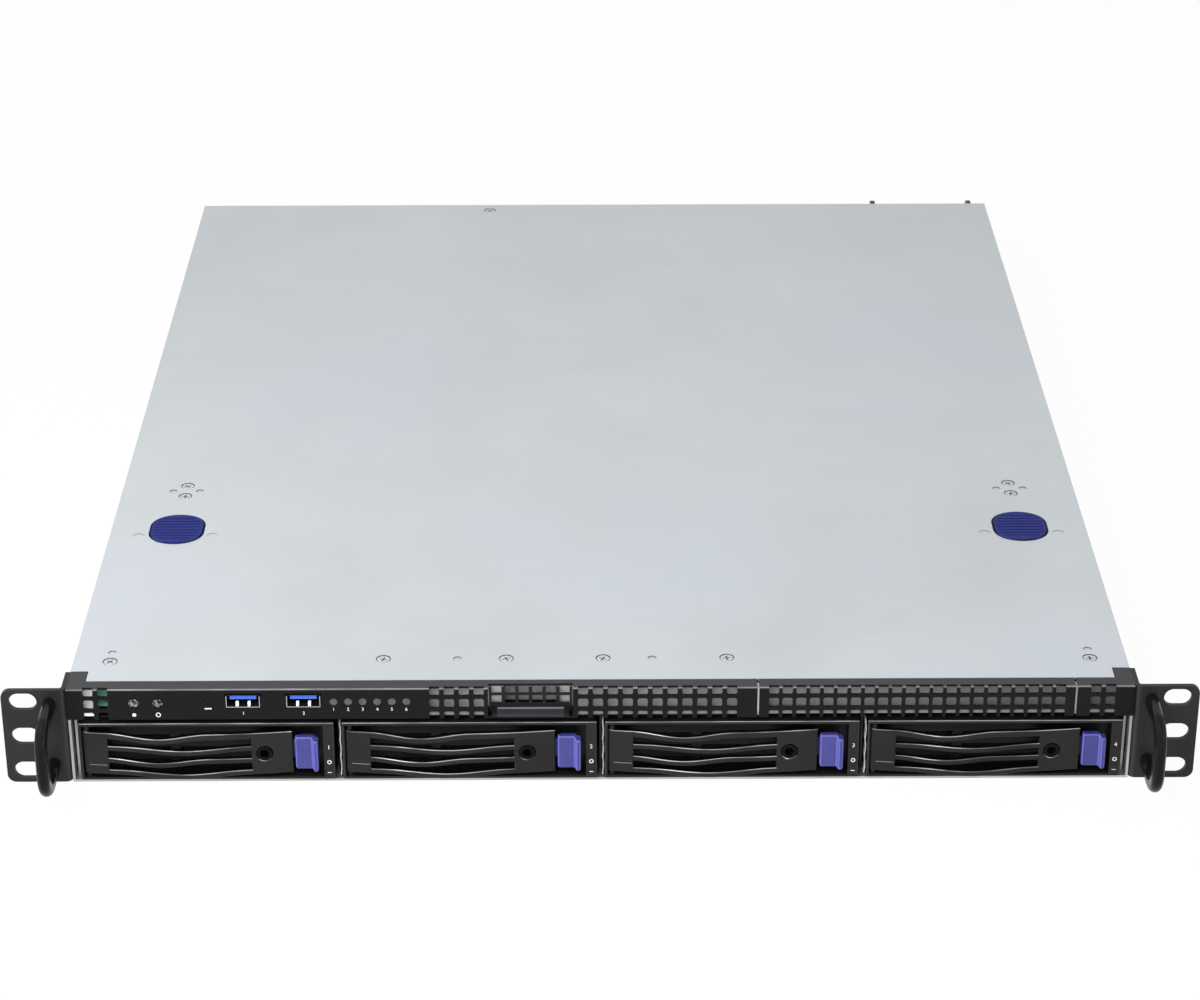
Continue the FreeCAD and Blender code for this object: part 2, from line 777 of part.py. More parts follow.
# Square holes with cut corners; in the rows next to a fold they run over it, past the edge
def vent_column(body, x, low, high, row_pitch):
    holes = front_view(body, f"{FRONT} - 1")
    left, right = f"{x} - vent_size / 2", f"{x} + vent_size / 2"
    for step in VENT_ROWS:
        middle = f"{ROW_MIDDLE} + {step} * {row_pitch}"
        bottom, top = f"{middle} - vent_size / 2", f"{middle} + vent_size / 2"
        upper = [(left, f"{top} - vent_corner"), (f"{left} + vent_corner", top),
                 (f"{right} - vent_corner", top), (right, f"{top} - vent_corner")]
        lower = [(right, f"{bottom} + vent_corner"), (f"{right} - vent_corner", bottom),
                 (f"{left} + vent_corner", bottom), (left, f"{bottom} + vent_corner")]
        if step == 1:
            upper = [(left, f"{high} + 1"), (right, f"{high} + 1")]
        if step == -1:
            lower = [(right, f"{low} - 1"), (left, f"{low} - 1")]
        outline(holes, upper + lower)
    return pocket(body, holes, "vent_wrap + 1")


def make_panel():
    body = new_body("front_panel")
    face = front_view(body, FRONT)
    rect(face, (f"0 - {HALF}", HALF), ("panel_bottom", "body_height"))
    pad(body, face, "panel_sheet", flip=True)
    top = plan_view(body, "body_height - panel_sheet")
    edge, near, far = f"({HALF} - tab_width)", f"{FRONT} + panel_flange", f"{FRONT} + tab_depth"
    outline(top, [(f"0 - {HALF}", FRONT), (HALF, FRONT), (HALF, far), (edge, far), (edge, near),
                  (f"0 - {edge}", near), (f"0 - {edge}", far), (f"0 - {HALF}", far)])
    pad(body, top, "panel_sheet")
    round_body(body, "panel_bend", lambda edge: lies_at(edge, y=FRONT, z="body_height"))
    shelf = plan_view(body, "panel_bottom")
    rect(shelf, (f"3 - {HALF}", f"{HALF} - 3"), (FRONT, f"{FRONT} + panel_shelf"))
    pad(body, shelf, "panel_sheet")
    bay = front_view(body, f"{FRONT} - 1")
    opening = "(filler_width / 2 + filler_gap)"
    bay_width = (f"filler_place - {opening}", f"filler_place + {opening}")
    rect(bay, bay_width, ("panel_bottom - 1", "body_height + 1"))
    pocket(body, bay, "panel_sheet + 1 + 2")
    bay_top = plan_view(body, "body_height + 1")
    rect(bay_top, bay_width, (f"{FRONT} - 1", f"{FRONT} + panel_flange + 1"))
    pocket(body, bay_top, "panel_sheet + 2")
    tag = front_view(body, f"{FRONT} - 1")
    gap = "(tag_width / 2 + tag_gap)"
    rect(tag, (f"tag_place - {gap}", f"tag_place + {gap}"), ("panel_bottom + panel_sheet", "body_height + 1"))
    pocket(body, tag, "tag_recess + 2")
    fittings = front_view(body, f"{FRONT} - 1")
    for place in ("id_place", "power_place"):
        ring(fittings, place, "button_height", "button_cap + button_fit")
    ring(fittings, "reset_place", "reset_height", "reset_pin + button_fit")
    for i in range(2):
        middle = f"(usb_place + {i} * usb_pitch)"
        rect(fittings, (f"{middle} - usb_width / 2 - port_fit", f"{middle} + usb_width / 2 + port_fit"),
             ("front_board_top - port_fit", "front_board_top + usb_height + port_fit"))
    for i in range(6):
        ring(fittings, f"led_place + {i} * led_pitch", "led_height", "led_radius + screw_fit")
    pocket(body, fittings, "panel_sheet + 1.5")
    for start, count in (("vent_end_left", 2), ("vent_left", 4), ("vent_middle", 11), ("vent_end_right", 2)):
        row_along_x(body, vent_column(body, start, "panel_bottom", "body_height", "vent_row_pitch"),
                    "vent_pitch", count)


FILLER_COLUMNS = 22


def make_filler():
    body = new_body("optical_filler")
    left, right = "(filler_place - filler_width / 2)", "(filler_place + filler_width / 2)"
    face = front_view(body, FRONT)
    rect(face, (left, right), ("panel_bottom", "body_height"))
    pad(body, face, "panel_sheet", flip=True)
    top = plan_view(body, "body_height - panel_sheet")
    rect(top, (left, right), (FRONT, f"{FRONT} + panel_flange"))
    pad(body, top, "panel_sheet")
    round_body(body, "panel_bend", lambda edge: lies_at(edge, y=FRONT, z="body_height"))
    returns = plan_view(body, "panel_bottom + panel_sheet")
    for near, far in ((left, f"{left} + panel_sheet"), (f"{right} - panel_sheet", right)):
        rect(returns, (near, far), (FRONT, f"{FRONT} + filler_return"))
    pad(body, returns, f"{ROOF} - panel_bottom - panel_sheet")
    first = f"filler_place - filler_pitch * {(FILLER_COLUMNS - 1) / 2}"
    column = vent_column(body, f"({first})", "panel_bottom", "body_height", "vent_row_pitch")
    row_along_x(body, column, "filler_pitch", FILLER_COLUMNS)


TAG_COLUMNS = 6


def make_tag():
    body = new_body("service_tag")
    half = "tag_width / 2"
    floor = "(panel_bottom + panel_sheet + slide_fit)"
    plane = f"({FRONT} + tag_recess)"
    face = front_view(body, plane)
    rect(face, (f"tag_place - {half}", f"tag_place + {half}"), (floor, f"{ROOF} - slide_fit"))
    pad(body, face, "tag_gauge", flip=True)
    tongue = plan_view(body, floor)
    rect(tongue, (f"tag_place - {half}", f"tag_place + {half}"), (plane, f"{plane} + tag_length"))
    pad(body, tongue, "tag_gauge")
    lip = side_view(body, f"tag_place - {half} + tag_lip_margin")
    outline(lip, [(plane, floor), (plane, f"{floor} + tag_lip_rise"),
                  (f"{plane} - tag_lip", f"{floor} + tag_lip_edge"), (f"{plane} - tag_lip", floor)])
    pad(body, lip, "tag_width - 2 * tag_lip_margin")
    first = f"(tag_place - tag_pitch * {(TAG_COLUMNS - 1) / 2})"
    holes = front_view(body, f"{plane} - 1")
    for step in (1, 0):
        middle = f"({ROW_MIDDLE} + {step} * (vent_row_pitch - 1.2) + 0.6)"
        rect(holes, (f"{first} - vent_size / 2", f"{first} + vent_size / 2"),
             (f"{middle} - vent_size / 2", f"{middle} + vent_size / 2 - 0.6"))
    row_along_x(body, pocket(body, holes, "tag_gauge + 2"), "tag_pitch", TAG_COLUMNS)


def make_front_board():
    level = "(front_board_top - board_gauge)"
    near = f"({FRONT} + panel_sheet + 3)"
    board = box(("front_board_left", "front_board_right"), (near, f"{near} + front_board_depth"),
                (level, "front_board_top"))
    switch_front = f"{FRONT} + 5.2"
    switches = [block(place, switch_front, "front_board_top", "6", "4", "4.6")
                for place in ("id_place", "power_place")]
    switches.append(block("reset_place", switch_front, "front_board_top", "4", "4", "4.2"))
    socket = block("front_board_left + 24", f"{near} + front_board_depth - 9", "front_board_top",
                   "34", "8", "5.4")
    keep("front_board", group(board, *switches, socket))
    shells, tongues = [], []
    for i in range(2):
        middle = f"(usb_place + {i} * usb_pitch)"
        start = f"{FRONT} - 0.2"
        shell = block(middle, start, "front_board_top", "usb_width", "usb_depth", "usb_height")
        hollow = block(middle, f"{start} - 1", "front_board_top + usb_wall",
                       "usb_width - 2 * usb_wall", "usb_depth - 1.5", "usb_height - 2 * usb_wall")
        shells.append(cut(shell, hollow))
        tongues.append(block(middle, f"{start} + 1.4", "front_board_top + usb_height / 2 + 0.2",
                             "usb_width - 3", "usb_depth - 3.9", "1.7"))
    keep("usb_ports", group(*shells, *tongues))
    pipes = [rod("Y", "led_radius", (f"led_place + {i} * led_pitch", f"{FRONT} + 0.2", "led_height"), "7")
             for i in range(6)]
    rail = block("led_place + 2.5 * led_pitch", f"{FRONT} + 4.6", "front_board_top",
                 "5 * led_pitch + 2 * led_radius", "2.6", "led_height - front_board_top + led_radius / 2")
    keep("led_lenses", fuse(rail, *pipes))


def ball(radius, x, y, z):
    item = doc.addObject("Part::Sphere", "Ball")
    return bind(item, {"Radius": radius, **at(x, y, z)})


def make_buttons():
    back = f"({FRONT} + panel_sheet + button_fit)"
    rim = f"({FRONT} - button_proud)"
    curve = "((button_cap * button_cap + button_crown * button_crown) / (2 * button_crown))"
    for label, place in (("id_button", "id_place"), ("power_button", "power_place")):
        dome = ball(curve, place, f"{rim} - button_crown + {curve}", "button_height")
        reach = rod("Y", "button_cap", (place, f"{rim} - button_crown - 1", "button_height"),
                    "button_crown + 1")
        crown = common(dome, reach)
        cap = rod("Y", "button_cap", (place, rim, "button_height"), "panel_sheet + 0.8")
        flange = rod("Y", "button_flange - 1.5", (place, back, "button_height"), "2.6 - button_travel")
        collar = rod("Y", "button_flange", (place, back, "button_height"), "0.9")
        keep(label, fuse(crown, cap, collar, flange))
    pin = rod("Y", "reset_pin", ("reset_place", f"{FRONT} + 0.4", "reset_height"), "panel_sheet + 2")
    collar = rod("Y", "reset_pin + 1", ("reset_place", back, "reset_height"), "0.9")
    keep("reset_button", fuse(pin, collar))


# Drive cage, trays and drives

BAYS = range(4)


def bay_middle(i):
    return f"({i - 1.5} * bay_pitch)"


def tray_left(i):
    return f"({bay_middle(i)} - tray_width / 2)"


def make_cage():
    body = new_body("drive_cage")
    under = "cage_top - sheet_gauge"
    legs = [("0 - cage_half", "sheet_gauge - cage_half")]
    legs += [(f"{i} * bay_pitch - sheet_gauge / 2", f"{i} * bay_pitch + sheet_gauge / 2") for i in (-1, 0, 1)]
    legs += [("cage_half - sheet_gauge", "cage_half")]
    points = [("0 - cage_half", "cage_top")]
    for number, (left, right) in enumerate(legs):
        points += [(left, under)] * (number > 0)
        points += [(left, "sheet_gauge"), (right, "sheet_gauge")]
        points += [(right, under)] * (number < len(legs) - 1)
    points += [("cage_half", "cage_top")]
    comb = front_view(body, f"{FRONT} + cage_setback")
    outline(comb, points)
    pad(body, comb, "cage_depth", flip=True)
    mouths = front_view(body, f"{FRONT} + cage_setback - 1")
    for i in (-1, 0, 1):
        rect(mouths, (f"{i} * bay_pitch - sheet_gauge", f"{i} * bay_pitch + sheet_gauge"), ("0", under))
    pocket(body, mouths, "divider_setback + 1")
    studs = plan_view(body, "cage_top")
    middle = "(front_board_left + front_board_right) / 2"
    for across in ("front_board_left + 6", middle, "front_board_right - 6"):
        hexagon(studs, across, f"{FRONT} + 30", "standoff_radius")
    pad(body, studs, "front_board_top - board_gauge - cage_top")


def make_tray(i):
    left, middle = tray_left(i), bay_middle(i)
    back = f"({FRONT} + bezel_depth)"
    bezel = block(middle, FRONT, "tray_bottom", "tray_width", "bezel_depth", "tray_top - tray_bottom")
    bezel = rounded(bezel, "bezel_round", lambda edge: lies_at(edge, y=FRONT))
    well = box((f"{left} + bezel_wall", f"{left} + tray_width - label_width"),
               (f"{FRONT} - 1", f"{back} - bezel_back"),
               ("tray_bottom + bezel_rail", "tray_top - bezel_rail"))
    hinge_x, hinge_y = hinge_axis(i)
    pivot = rod("Z", "pin_radius + pin_fit", (hinge_x, hinge_y, "tray_bottom + 0.4"),
                "tray_top - tray_bottom - 0.8")
    slots = [block(f"{middle} + {column} * (air_slot_length + air_slot_gap)", f"{back} - bezel_back - 1",
                   f"air_slot_first - {line} * air_slot_pitch - air_slot_height / 2",
                   "air_slot_length", "bezel_back + 2", "air_slot_height")
             for column in (-1, 0, 1) for line in range(3)]
    bezel = cut(cut(bezel, well), pivot, *slots)
    outer = "(drive_width / 2 + 0.05 + sled_gauge)"
    sled_end = f"{back} + sled_length"
    walls = [box(span, (back, sled_end), ("tray_bottom", "tray_bottom + sled_height")) for span in (
        (f"{middle} - {outer}", f"{middle} - {outer} + sled_gauge"),
        (f"{middle} + {outer} - sled_gauge", f"{middle} + {outer}"))]
    floors = [box(span, (back, sled_end), ("tray_bottom", "tray_bottom + sled_gauge")) for span in (
        (f"{middle} - {outer}", f"{middle} - {outer} + sled_flange"),
        (f"{middle} + {outer} - sled_flange", f"{middle} + {outer}"))]
    tie = box((f"{middle} - {outer}", f"{middle} + {outer}"), (f"{sled_end} - 10", sled_end),
              ("tray_bottom", "tray_bottom + sled_gauge"))
    keep(f"drive_tray_{i + 1}", fuse(bezel, *walls, *floors, tie))


def make_drive(i):
    middle = bay_middle(i)
    near = f"({FRONT} + drive_setback)"
    far = f"({near} + drive_length)"
    seat = "(tray_bottom + sled_gauge)"
    casting = block(middle, near, seat, "drive_width", "drive_length", "drive_height - 1.2")
    hollow = block(middle, f"{near} - 1", f"{seat} - 1", "drive_width - 2 * sled_flange - 2",
                   "drive_length + 2", "3.5")
    notch = box((f"{middle} - 46", f"{middle} - 8"), (f"{far} - 6", f"{far} + 1"),
                (f"{seat} - 1", f"{seat} + 6"))
    lid = block(middle, f"{near} + 2", f"{seat} + drive_height - 1.2",
                "drive_width - 4", "drive_length - 4", "1.2")
    spindle = rod("Z", "34", (middle, f"{near} + 52", f"{seat} + drive_height - 0.4"), "0.6")
    board = block(middle, f"{near} + 30", f"{seat} + 0.9", "drive_width - 2 * sled_flange - 6",
                  "drive_length - 40", "board_gauge")
    keep(f"hard_drive_{i + 1}", group(cut(casting, fuse(hollow, notch)), cut(lid, spindle), board))


def hinge_axis(i):
    return (f"({tray_left(i)} + lever_start + barrel_radius)", f"({FRONT} + lever_inset + barrel_radius)")


# One long edge of the lever seen from the front: level, with a dip like a wave
def wave_edge(left, right, level, place, spread, dip):
    points = [Vector(left, 0, level)]
    points += [Vector(place + spread * t, 0, level - dip * (1 + math.cos(math.pi * t)) / 2)
               for t in (-1, -0.5, 0, 0.5, 1)]
    points += [Vector(right, 0, level)]
    curve = Part.BSplineCurve()
    curve.interpolate([point for point in points if left <= point.x <= right])
    return curve.toShape()


def wave_face(top, bottom):
    left, right = (Part.makeLine(*[edge.Vertexes[end].Point for edge in (top, bottom)]) for end in (0, -1))
    return Part.Face(Part.Wire([top, right, bottom, left]))


def lever_front(i):
    start = value(f"{tray_left(i)} + lever_start")
    early = start + value("wave_place"), value("wave_half")
    late = start + value("wave_late_place"), value("wave_late_half"), value("wave_small_dip")
    left, right = start, start + value("lever_length")
    outer = wave_face(wave_edge(left, right, value("lever_top"), *early, value("lever_dip")),
                      wave_edge(left, right, value("lever_bottom"), *late))
    near = start + value("gill_start")
    far = near + value("gill_length")
    early += (value("wave_dip"),)
    waves = (early, late, early, late)
    for n in range(3):
        top = value(f"gill_top - {n} * gill_pitch")
        upper = wave_edge(near, far, top, *waves[n])
        lower = wave_edge(near, far, top - value("gill_height"), *waves[n + 1])
        outer = outer.cut(wave_face(upper, lower))
    item = doc.addObject("Part::Feature", "LeverFront")
    item.Shape = outer.Faces[0]
    return item


# The lever seen from above: a band bowed towards the front
def lever_arc(i, setback):
    near = value(hinge_axis(i)[0])
    far = value(f"{tray_left(i)} + lever_start + lever_length")
    front = value(f"{FRONT} + lever_inset") + setback
    crown = Vector(value(f"{tray_left(i)} + lever_start + lever_length / 2"), front - value("lever_bow"), 0)
    return Part.Arc(Vector(near, front, 0), crown, Vector(far, front, 0)).toShape()


def lever_plan(i):
    outer, inner = lever_arc(i, 0), lever_arc(i, value("lever_gauge"))
    left, right = (Part.makeLine(*[arc.Vertexes[end].Point for arc in (outer, inner)]) for end in (0, -1))
    item = doc.addObject("Part::Feature", "LeverPlan")
    item.Shape = Part.Face(Part.Wire([outer, right, inner, left]))
    return item


def extruded(base, direction, length, x, y, z):
    item = doc.addObject("Part::Extrusion", "Drawn")
    item.Base = base
    item.DirMode = "Custom"
    item.Dir = direction
    item.Solid = True
    return bind(item, {"LengthFwd": length, **at(x, y, z)})


def make_lever(i):
    left = tray_left(i)
    hinge_x, hinge_y = hinge_axis(i)
    front = extruded(lever_front(i), Vector(0, 1, 0), "40", "0", "-25", "0")
    band = extruded(lever_plan(i), Vector(0, 0, 1), "tray_top", "0", "0", "0")
    plate = common(front, band)
    barrel = rod("Z", "barrel_radius", (hinge_x, hinge_y, "lever_bottom"), "lever_top - lever_bottom")
    pin = rod("Z", "pin_radius", (hinge_x, hinge_y, "tray_bottom + 0.6"), "tray_top - tray_bottom - 1.2")
    lock_x = f"{left} + lever_start + lock_place"
    boss = rod("Y", "lock_boss", (lock_x, f"{FRONT} + 0.6", "lock_height"), "4")
    bore = rod("Y", "lock_radius + lock_fit", (lock_x, f"{FRONT} - 10", "lock_height"), "20")
    keep(f"tray_lever_{i + 1}", cut(fuse(plate, barrel, pin, boss), bore))


def make_lock(i):
    place = f"{tray_left(i)} + lever_start + lock_place"
    barrel = rod("Y", "lock_radius", (place, f"{FRONT} - 0.7", "lock_height"), "6.4")
    flange = rod("Y", "lock_boss - 0.4", (place, f"{FRONT} + 4.9", "lock_height"), "0.8")
    prism = doc.addObject("Part::Prism", "HexSocket")
    prism.Polygon = 6
    prism.Placement = Placement(Vector(), TURNS["Y"])
    bind(prism, {"Circumradius": "lock_hex", "Height": "4", **at(place, f"{FRONT} - 1", "lock_height")})
    keep(f"tray_lock_{i + 1}", cut(fuse(barrel, flange), prism))


def make_latch(i):
    start = f"({tray_left(i)} + latch_start)"
    end = f"({start} + latch_width)"
    depth = f"({FRONT} + bezel_depth - bezel_back - slide_fit)"
    near = f"({FRONT} - 0.4)"
    plate_back = f"({near} + latch_gauge)"
    face = box((start, end), (near, plate_back), ("latch_bottom", "latch_top"))
    face = rounded(face, "latch_round", lambda edge: lies_at(edge, y=near)
                   or lies_at(edge, x=start, z="latch_top"))
    ridge = box((f"{end} - latch_ridge", end), (f"{near} - latch_proud", f"{near} + latch_gauge / 2"),
                ("latch_bottom - latch_drop", "latch_top - latch_drop"))
    ridge = rounded(ridge, "latch_round", lambda edge: lies_at(edge, y=f"{near} - latch_proud"))
    stem = box((f"{start} + stem_margin", f"{end} - stem_margin"), (plate_back, depth),
               ("lock_height - stem_height / 2", "lock_height + stem_height / 2"))
    tongue = box((f"{start} - 2.2", f"{start} + stem_margin"), (f"{FRONT} + 3.4", f"{FRONT} + 6"),
                 ("lock_height - 4", "lock_height + 4"))
    keep(f"tray_latch_{i + 1}", fuse(face, ridge, stem, tongue))


# Backplane and fans

def make_backplane():
    near = f"({FRONT} + cage_setback + cage_depth)"
    board = block("0", near, "backplane_low",
                  "backplane_width", "board_gauge", "backplane_high - backplane_low")
    vents = [block(f"{bay_middle(i)} + 14", f"{near} - 1", "backplane_low + 5", "56", "board_gauge + 2", "14")
             for i in BAYS]
    drive_end = f"({FRONT} + drive_setback + drive_length + slide_fit)"
    sockets = [box((f"{bay_middle(i)} - 45", f"{bay_middle(i)} - 9"), (drive_end, near),
                   ("backplane_low + 0.4", "backplane_low + 5.4")) for i in BAYS]
    leads = [block(f"{bay_middle(i)} - 33", f"{near} + board_gauge", "backplane_low + 8", "22", "7", "8")
             for i in BAYS]
    keep("backplane", group(cut(board, *vents), *sockets, *leads))


FANS = range(4)


def fan_middle(i):
    return f"(fan_first + {i} * fan_pitch)"


FAN_FRONT = f"({FRONT} + fan_setback)"
FAN_HEIGHT = "(sheet_gauge + fan_size / 2)"
BLADES = 7


def make_fans():
    frames = []
    for i in FANS:
        x = fan_middle(i)
        shell = block(x, FAN_FRONT, "sheet_gauge", "fan_size", "fan_depth", "fan_size")
        waist = cut(shell, *[block(f"{x} + {side} * fan_size / 2", f"{FAN_FRONT} + 4", "sheet_gauge + 6",
                                   "2.4", "fan_depth - 8", "fan_size - 12") for side in (-1, 1)])
        duct = rod("Y", "fan_duct", (x, f"{FAN_FRONT} - 1", FAN_HEIGHT), "fan_depth + 2")
        motor = rod("Y", "fan_hub", (x, f"{FAN_FRONT} + fan_depth - 3", FAN_HEIGHT), "3")
        end = (f"{FAN_FRONT} + fan_depth - 3", f"{FAN_FRONT} + fan_depth")
        reach = "(fan_duct + 0.4)"
        struts = [box((f"{x} - {long}", f"{x} + {long}"), end,
                      (f"{FAN_HEIGHT} - {tall}", f"{FAN_HEIGHT} + {tall}"))
                  for long, tall in ((reach, "1"), ("1", reach))]
        frames.append(fuse(cut(waist, duct), motor, *struts))
    keep("fan_frames", group(*frames))


def make_rotor(i):
    body = new_body(f"fan_rotor_{i + 1}")
    bind(body, at(fan_middle(i), f"{FAN_FRONT} + 3", FAN_HEIGHT))
    hub = front_view(body, "0")
    ring(hub, "0", "0", "fan_hub")
    pad(body, hub, "fan_depth - 6 - slide_fit", flip=True)
    blade = side_view(body, "fan_hub * 0.8")
    half = "fan_blade_chord / 2"
    outline(blade, [("2", f"0 - {half} + 2"), ("3.4", f"0 - {half} + 2"),
                    ("fan_depth - 9", half), ("fan_depth - 10.4", half)])
    vane = pad(body, blade, "fan_blade - fan_hub * 0.8")
    item = body.newObject("PartDesign::PolarPattern", "Vanes")
    item.Originals = [vane]
    item.Axis = (datum(body, "Y_Axis"), [""])
    item.Angle = 360
    item.Occurrences = BLADES
    body.Tip = item


# Main board and what stands on it

DIMMS = range(4)


def dimm_place(i):
    return f"(dimm_first + {i} * dimm_pitch)"


def make_main_board():
    base = "sheet_gauge + standoff_height"
    sheet_edge = "main_left + main_width"
    board = box(("main_left", sheet_edge), (MAIN_FRONT, MAIN_BACK), (base, MAIN_TOP))
    notch = box((f"{PSU_SIDE} - main_clear", f"{sheet_edge} + body_width"),
                (f"{PSU_FRONT} - main_clear", REAR), ("0", f"{MAIN_TOP} + 1"))
    board = cut(board, notch)
    cpu_y = f"({FRONT} + cpu_setback)"
    socket = block("cpu_place", f"{cpu_y} - 28", MAIN_TOP, "52", "56", "socket_height - 2")
    lid = block("cpu_place", f"{cpu_y} - 19", f"{MAIN_TOP} + socket_height - 2", "36", "38", "2")
    sockets = [block(dimm_place(i), f"{FRONT} + dimm_setback - 4", MAIN_TOP, "6.5", "dimm_length + 8", "3")
               for i in DIMMS]
    riser_slot = block("slot_right", f"{MAIN_BACK} - 130", MAIN_TOP, "7.5", "89", "9")
    chipset = block("64", f"{MAIN_BACK} - 70", MAIN_TOP, "32", "32", "11")
    flutes = [block(f"{52 + 6 * n + 0.5}", f"{MAIN_BACK} - 71", f"{MAIN_TOP} + 3", "3", "34", "9")
              for n in range(5)]
    power = block("40", f"{MAIN_FRONT} + 4", MAIN_TOP, "52", "10", "13")
    leads = [block(place, f"{MAIN_FRONT} + 6", MAIN_TOP, "17", "8", "8")
             for place in ("-190", "-168", "-146", "-124")]
    chokes = [block(f"{-24 + 13 * n}", f"{cpu_y} + 46", MAIN_TOP, "9", "9", "7") for n in range(7)]
    keep("motherboard", group(board, socket, lid, *sockets, riser_slot, cut(chipset, *flutes), power,
                              *leads, *chokes))


SINK_FINS = 22


def make_heatsink():
    body = new_body("cpu_heatsink")
    base = f"({MAIN_TOP} + socket_height)"
    middle = f"({FRONT} + cpu_setback)"
    deep = (f"{middle} - sink_width / 2", f"{middle} + sink_width / 2")
    foot = plan_view(body, base)
    rect(foot, ("cpu_place - sink_width / 2", "cpu_place + sink_width / 2"), deep)
    pad(body, foot, "sink_base")
    fin = plan_view(body, f"{base} + sink_base")
    first = f"(cpu_place - fin_pitch * {(SINK_FINS - 1) / 2})"
    rect(fin, (f"{first} - fin_gauge / 2", f"{first} + fin_gauge / 2"), deep)
    row_along_x(body, pad(body, fin, f"sink_top - {base} - sink_base"), "fin_pitch", SINK_FINS)


def make_memory():
    sticks = []
    seat = f"({MAIN_TOP} + 3)"
    start = f"({FRONT} + dimm_setback)"
    for i in DIMMS:
        x = dimm_place(i)
        card = block(x, start, seat, "1.3", "dimm_length", "dimm_height - 1")
        chips = [block(x, f"{start} + 7 + {n} * (dimm_length - 14) / 5", f"{seat} + 9", "3.7",
                       "(dimm_length - 14) / 5 - 3", "14") for n in range(5)]
        sticks.append(fuse(card, *chips))
    keep("memory_modules", group(*sticks))


# Sockets on the rear wall

JACKS = range(4)
PORT_BACK = f"({REAR} + port_stand)"
STACK_PLACE = "-10"
STACK_RISES = (1.6, 9)
VIDEO_PLACE = "-40"


def jack_place(i):
    return f"(jack_first + {i} * jack_pitch)"


def jack(x, base):
    front = f"({PORT_BACK} - jack_depth)"
    shell = block(x, front, base, "jack_width", "jack_depth", "jack_height")
    mouth = block(x, f"{front} + 5", f"{base} + 3.4", "11.8", "jack_depth", "7.2")
    clip = block(x, f"{front} + 8", f"{base} + 1.2", "6.2", "jack_depth", "2.2")
    return cut(shell, fuse(mouth, clip))


def make_rear_ports():
    front = f"({PORT_BACK} - jack_depth)"
    jacks = [jack(jack_place(i), MAIN_TOP) for i in JACKS]
    stack_top = f"({MAIN_TOP} + 15.6)"
    lower = block(STACK_PLACE, front, MAIN_TOP, "jack_width", "jack_depth", "15.6")
    gaps = [block(STACK_PLACE, f"{front} + 6", f"{MAIN_TOP} + {rise}", "12.4", "jack_depth", "4.8")
            for rise in STACK_RISES]
    tongues = [block(STACK_PLACE, f"{front} + 6", f"{MAIN_TOP} + {rise + 2.6}",
                     "10.4", "jack_depth - 7.5", "1.6") for rise in STACK_RISES]
    video_base = block(VIDEO_PLACE, front, MAIN_TOP, "30.8", "jack_depth - 2", "12.5")
    shell = block(VIDEO_PLACE, f"{PORT_BACK} - 2", f"{MAIN_TOP} + 2.2", "16.6", "5.4", "8")
    face = block(VIDEO_PLACE, f"{PORT_BACK} + 2", f"{MAIN_TOP} + 3", "15", "3", "6.4")
    nuts = [rod("Y", "2.4", (f"{VIDEO_PLACE} + {side} * 12.5", f"{PORT_BACK} - 2", f"{MAIN_TOP} + 6.2"), "5")
            for side in (-1, 1)]
    keep("rear_ports", group(*jacks, cut(lower, *gaps), *tongues, jack(STACK_PLACE, stack_top), video_base,
                             cut(shell, face), *nuts))


def port_hole(x, base, wide, tall):
    return block(x, f"{REAR} - 10", f"{base} - port_fit",
                 f"{wide} + 2 * port_fit", "20", f"{tall} + 2 * port_fit")


def make_shield():
    inner = f"({REAR} - sheet_gauge)"
    plate = box(("io_left - 3", "io_right + 3"), (f"{inner} - shield_gauge", inner),
                ("io_low - 1", "io_high + 1.5"))
    holes = [port_hole(jack_place(i), MAIN_TOP, "jack_width", "jack_height") for i in JACKS]
    holes.append(port_hole(STACK_PLACE, MAIN_TOP, "jack_width", "15.6 + jack_height"))
    holes.append(port_hole(VIDEO_PLACE, MAIN_TOP, "30.8", "12.5"))
    breathers = [block(f"{jack_place(i)} + 1", f"{REAR} - 10", "io_high - 12", "13", "20", "8")
                 for i in JACKS]
    keep("io_shield", cut(plate, *holes, *breathers))


def make_expansion():
    inner = f"({REAR} - sheet_gauge)"
    plate = box(("slot_left", "slot_right"), (f"{inner} - psu_sheet", inner), ("slot_low", "slot_high"))
    holes = [block(f"slot_left + 12 + {n} * 9", f"{inner} - 5", "slot_low + 5",
                   "5", "10", "slot_high - slot_low - 10") for n in range(10)]
    keep("slot_cover", cut(plate, *holes))
    start = f"({MAIN_BACK} - 126)"
    card = block("slot_right", start, f"{MAIN_TOP} + 9", "board_gauge", "104", "21")
    edge = "slot_right - board_gauge / 2"
    socket = box((f"{edge} - 11", edge), (f"{start} + 6", f"{start} + 95"),
                 ("slot_low + 4", "slot_low + 11.5"))
    keep("riser_card", group(card, socket))


# Power supplies

SUPPLIES = range(2)


def psu_start(i):
    return f"(psu_left + {i} * psu_pitch)"


def make_psu_cage():
    near, far = PSU_FRONT, f"{REAR} - sheet_gauge"
    wall_left = PSU_SIDE
    top = "(psu_bottom + psu_height + slide_fit)"
    edge = f"({HALF} - lip_width - slide_fit)"
    side = box((wall_left, f"{wall_left} + psu_sheet"), (near, far), ("sheet_gauge", top))
    lid = box((wall_left, edge), (near, far), (top, f"{top} + psu_sheet"))
    front = box((wall_left, edge), (near, f"{near} + psu_sheet"), ("sheet_gauge", top))
    windows = [block(f"{psu_start(i)} + psu_width / 2", f"{near} - 1", "sheet_gauge + 12",
                     "30", "psu_sheet + 2", "14") for i in SUPPLIES]
    keep("psu_cage", cut(fuse(side, lid, front), *windows))


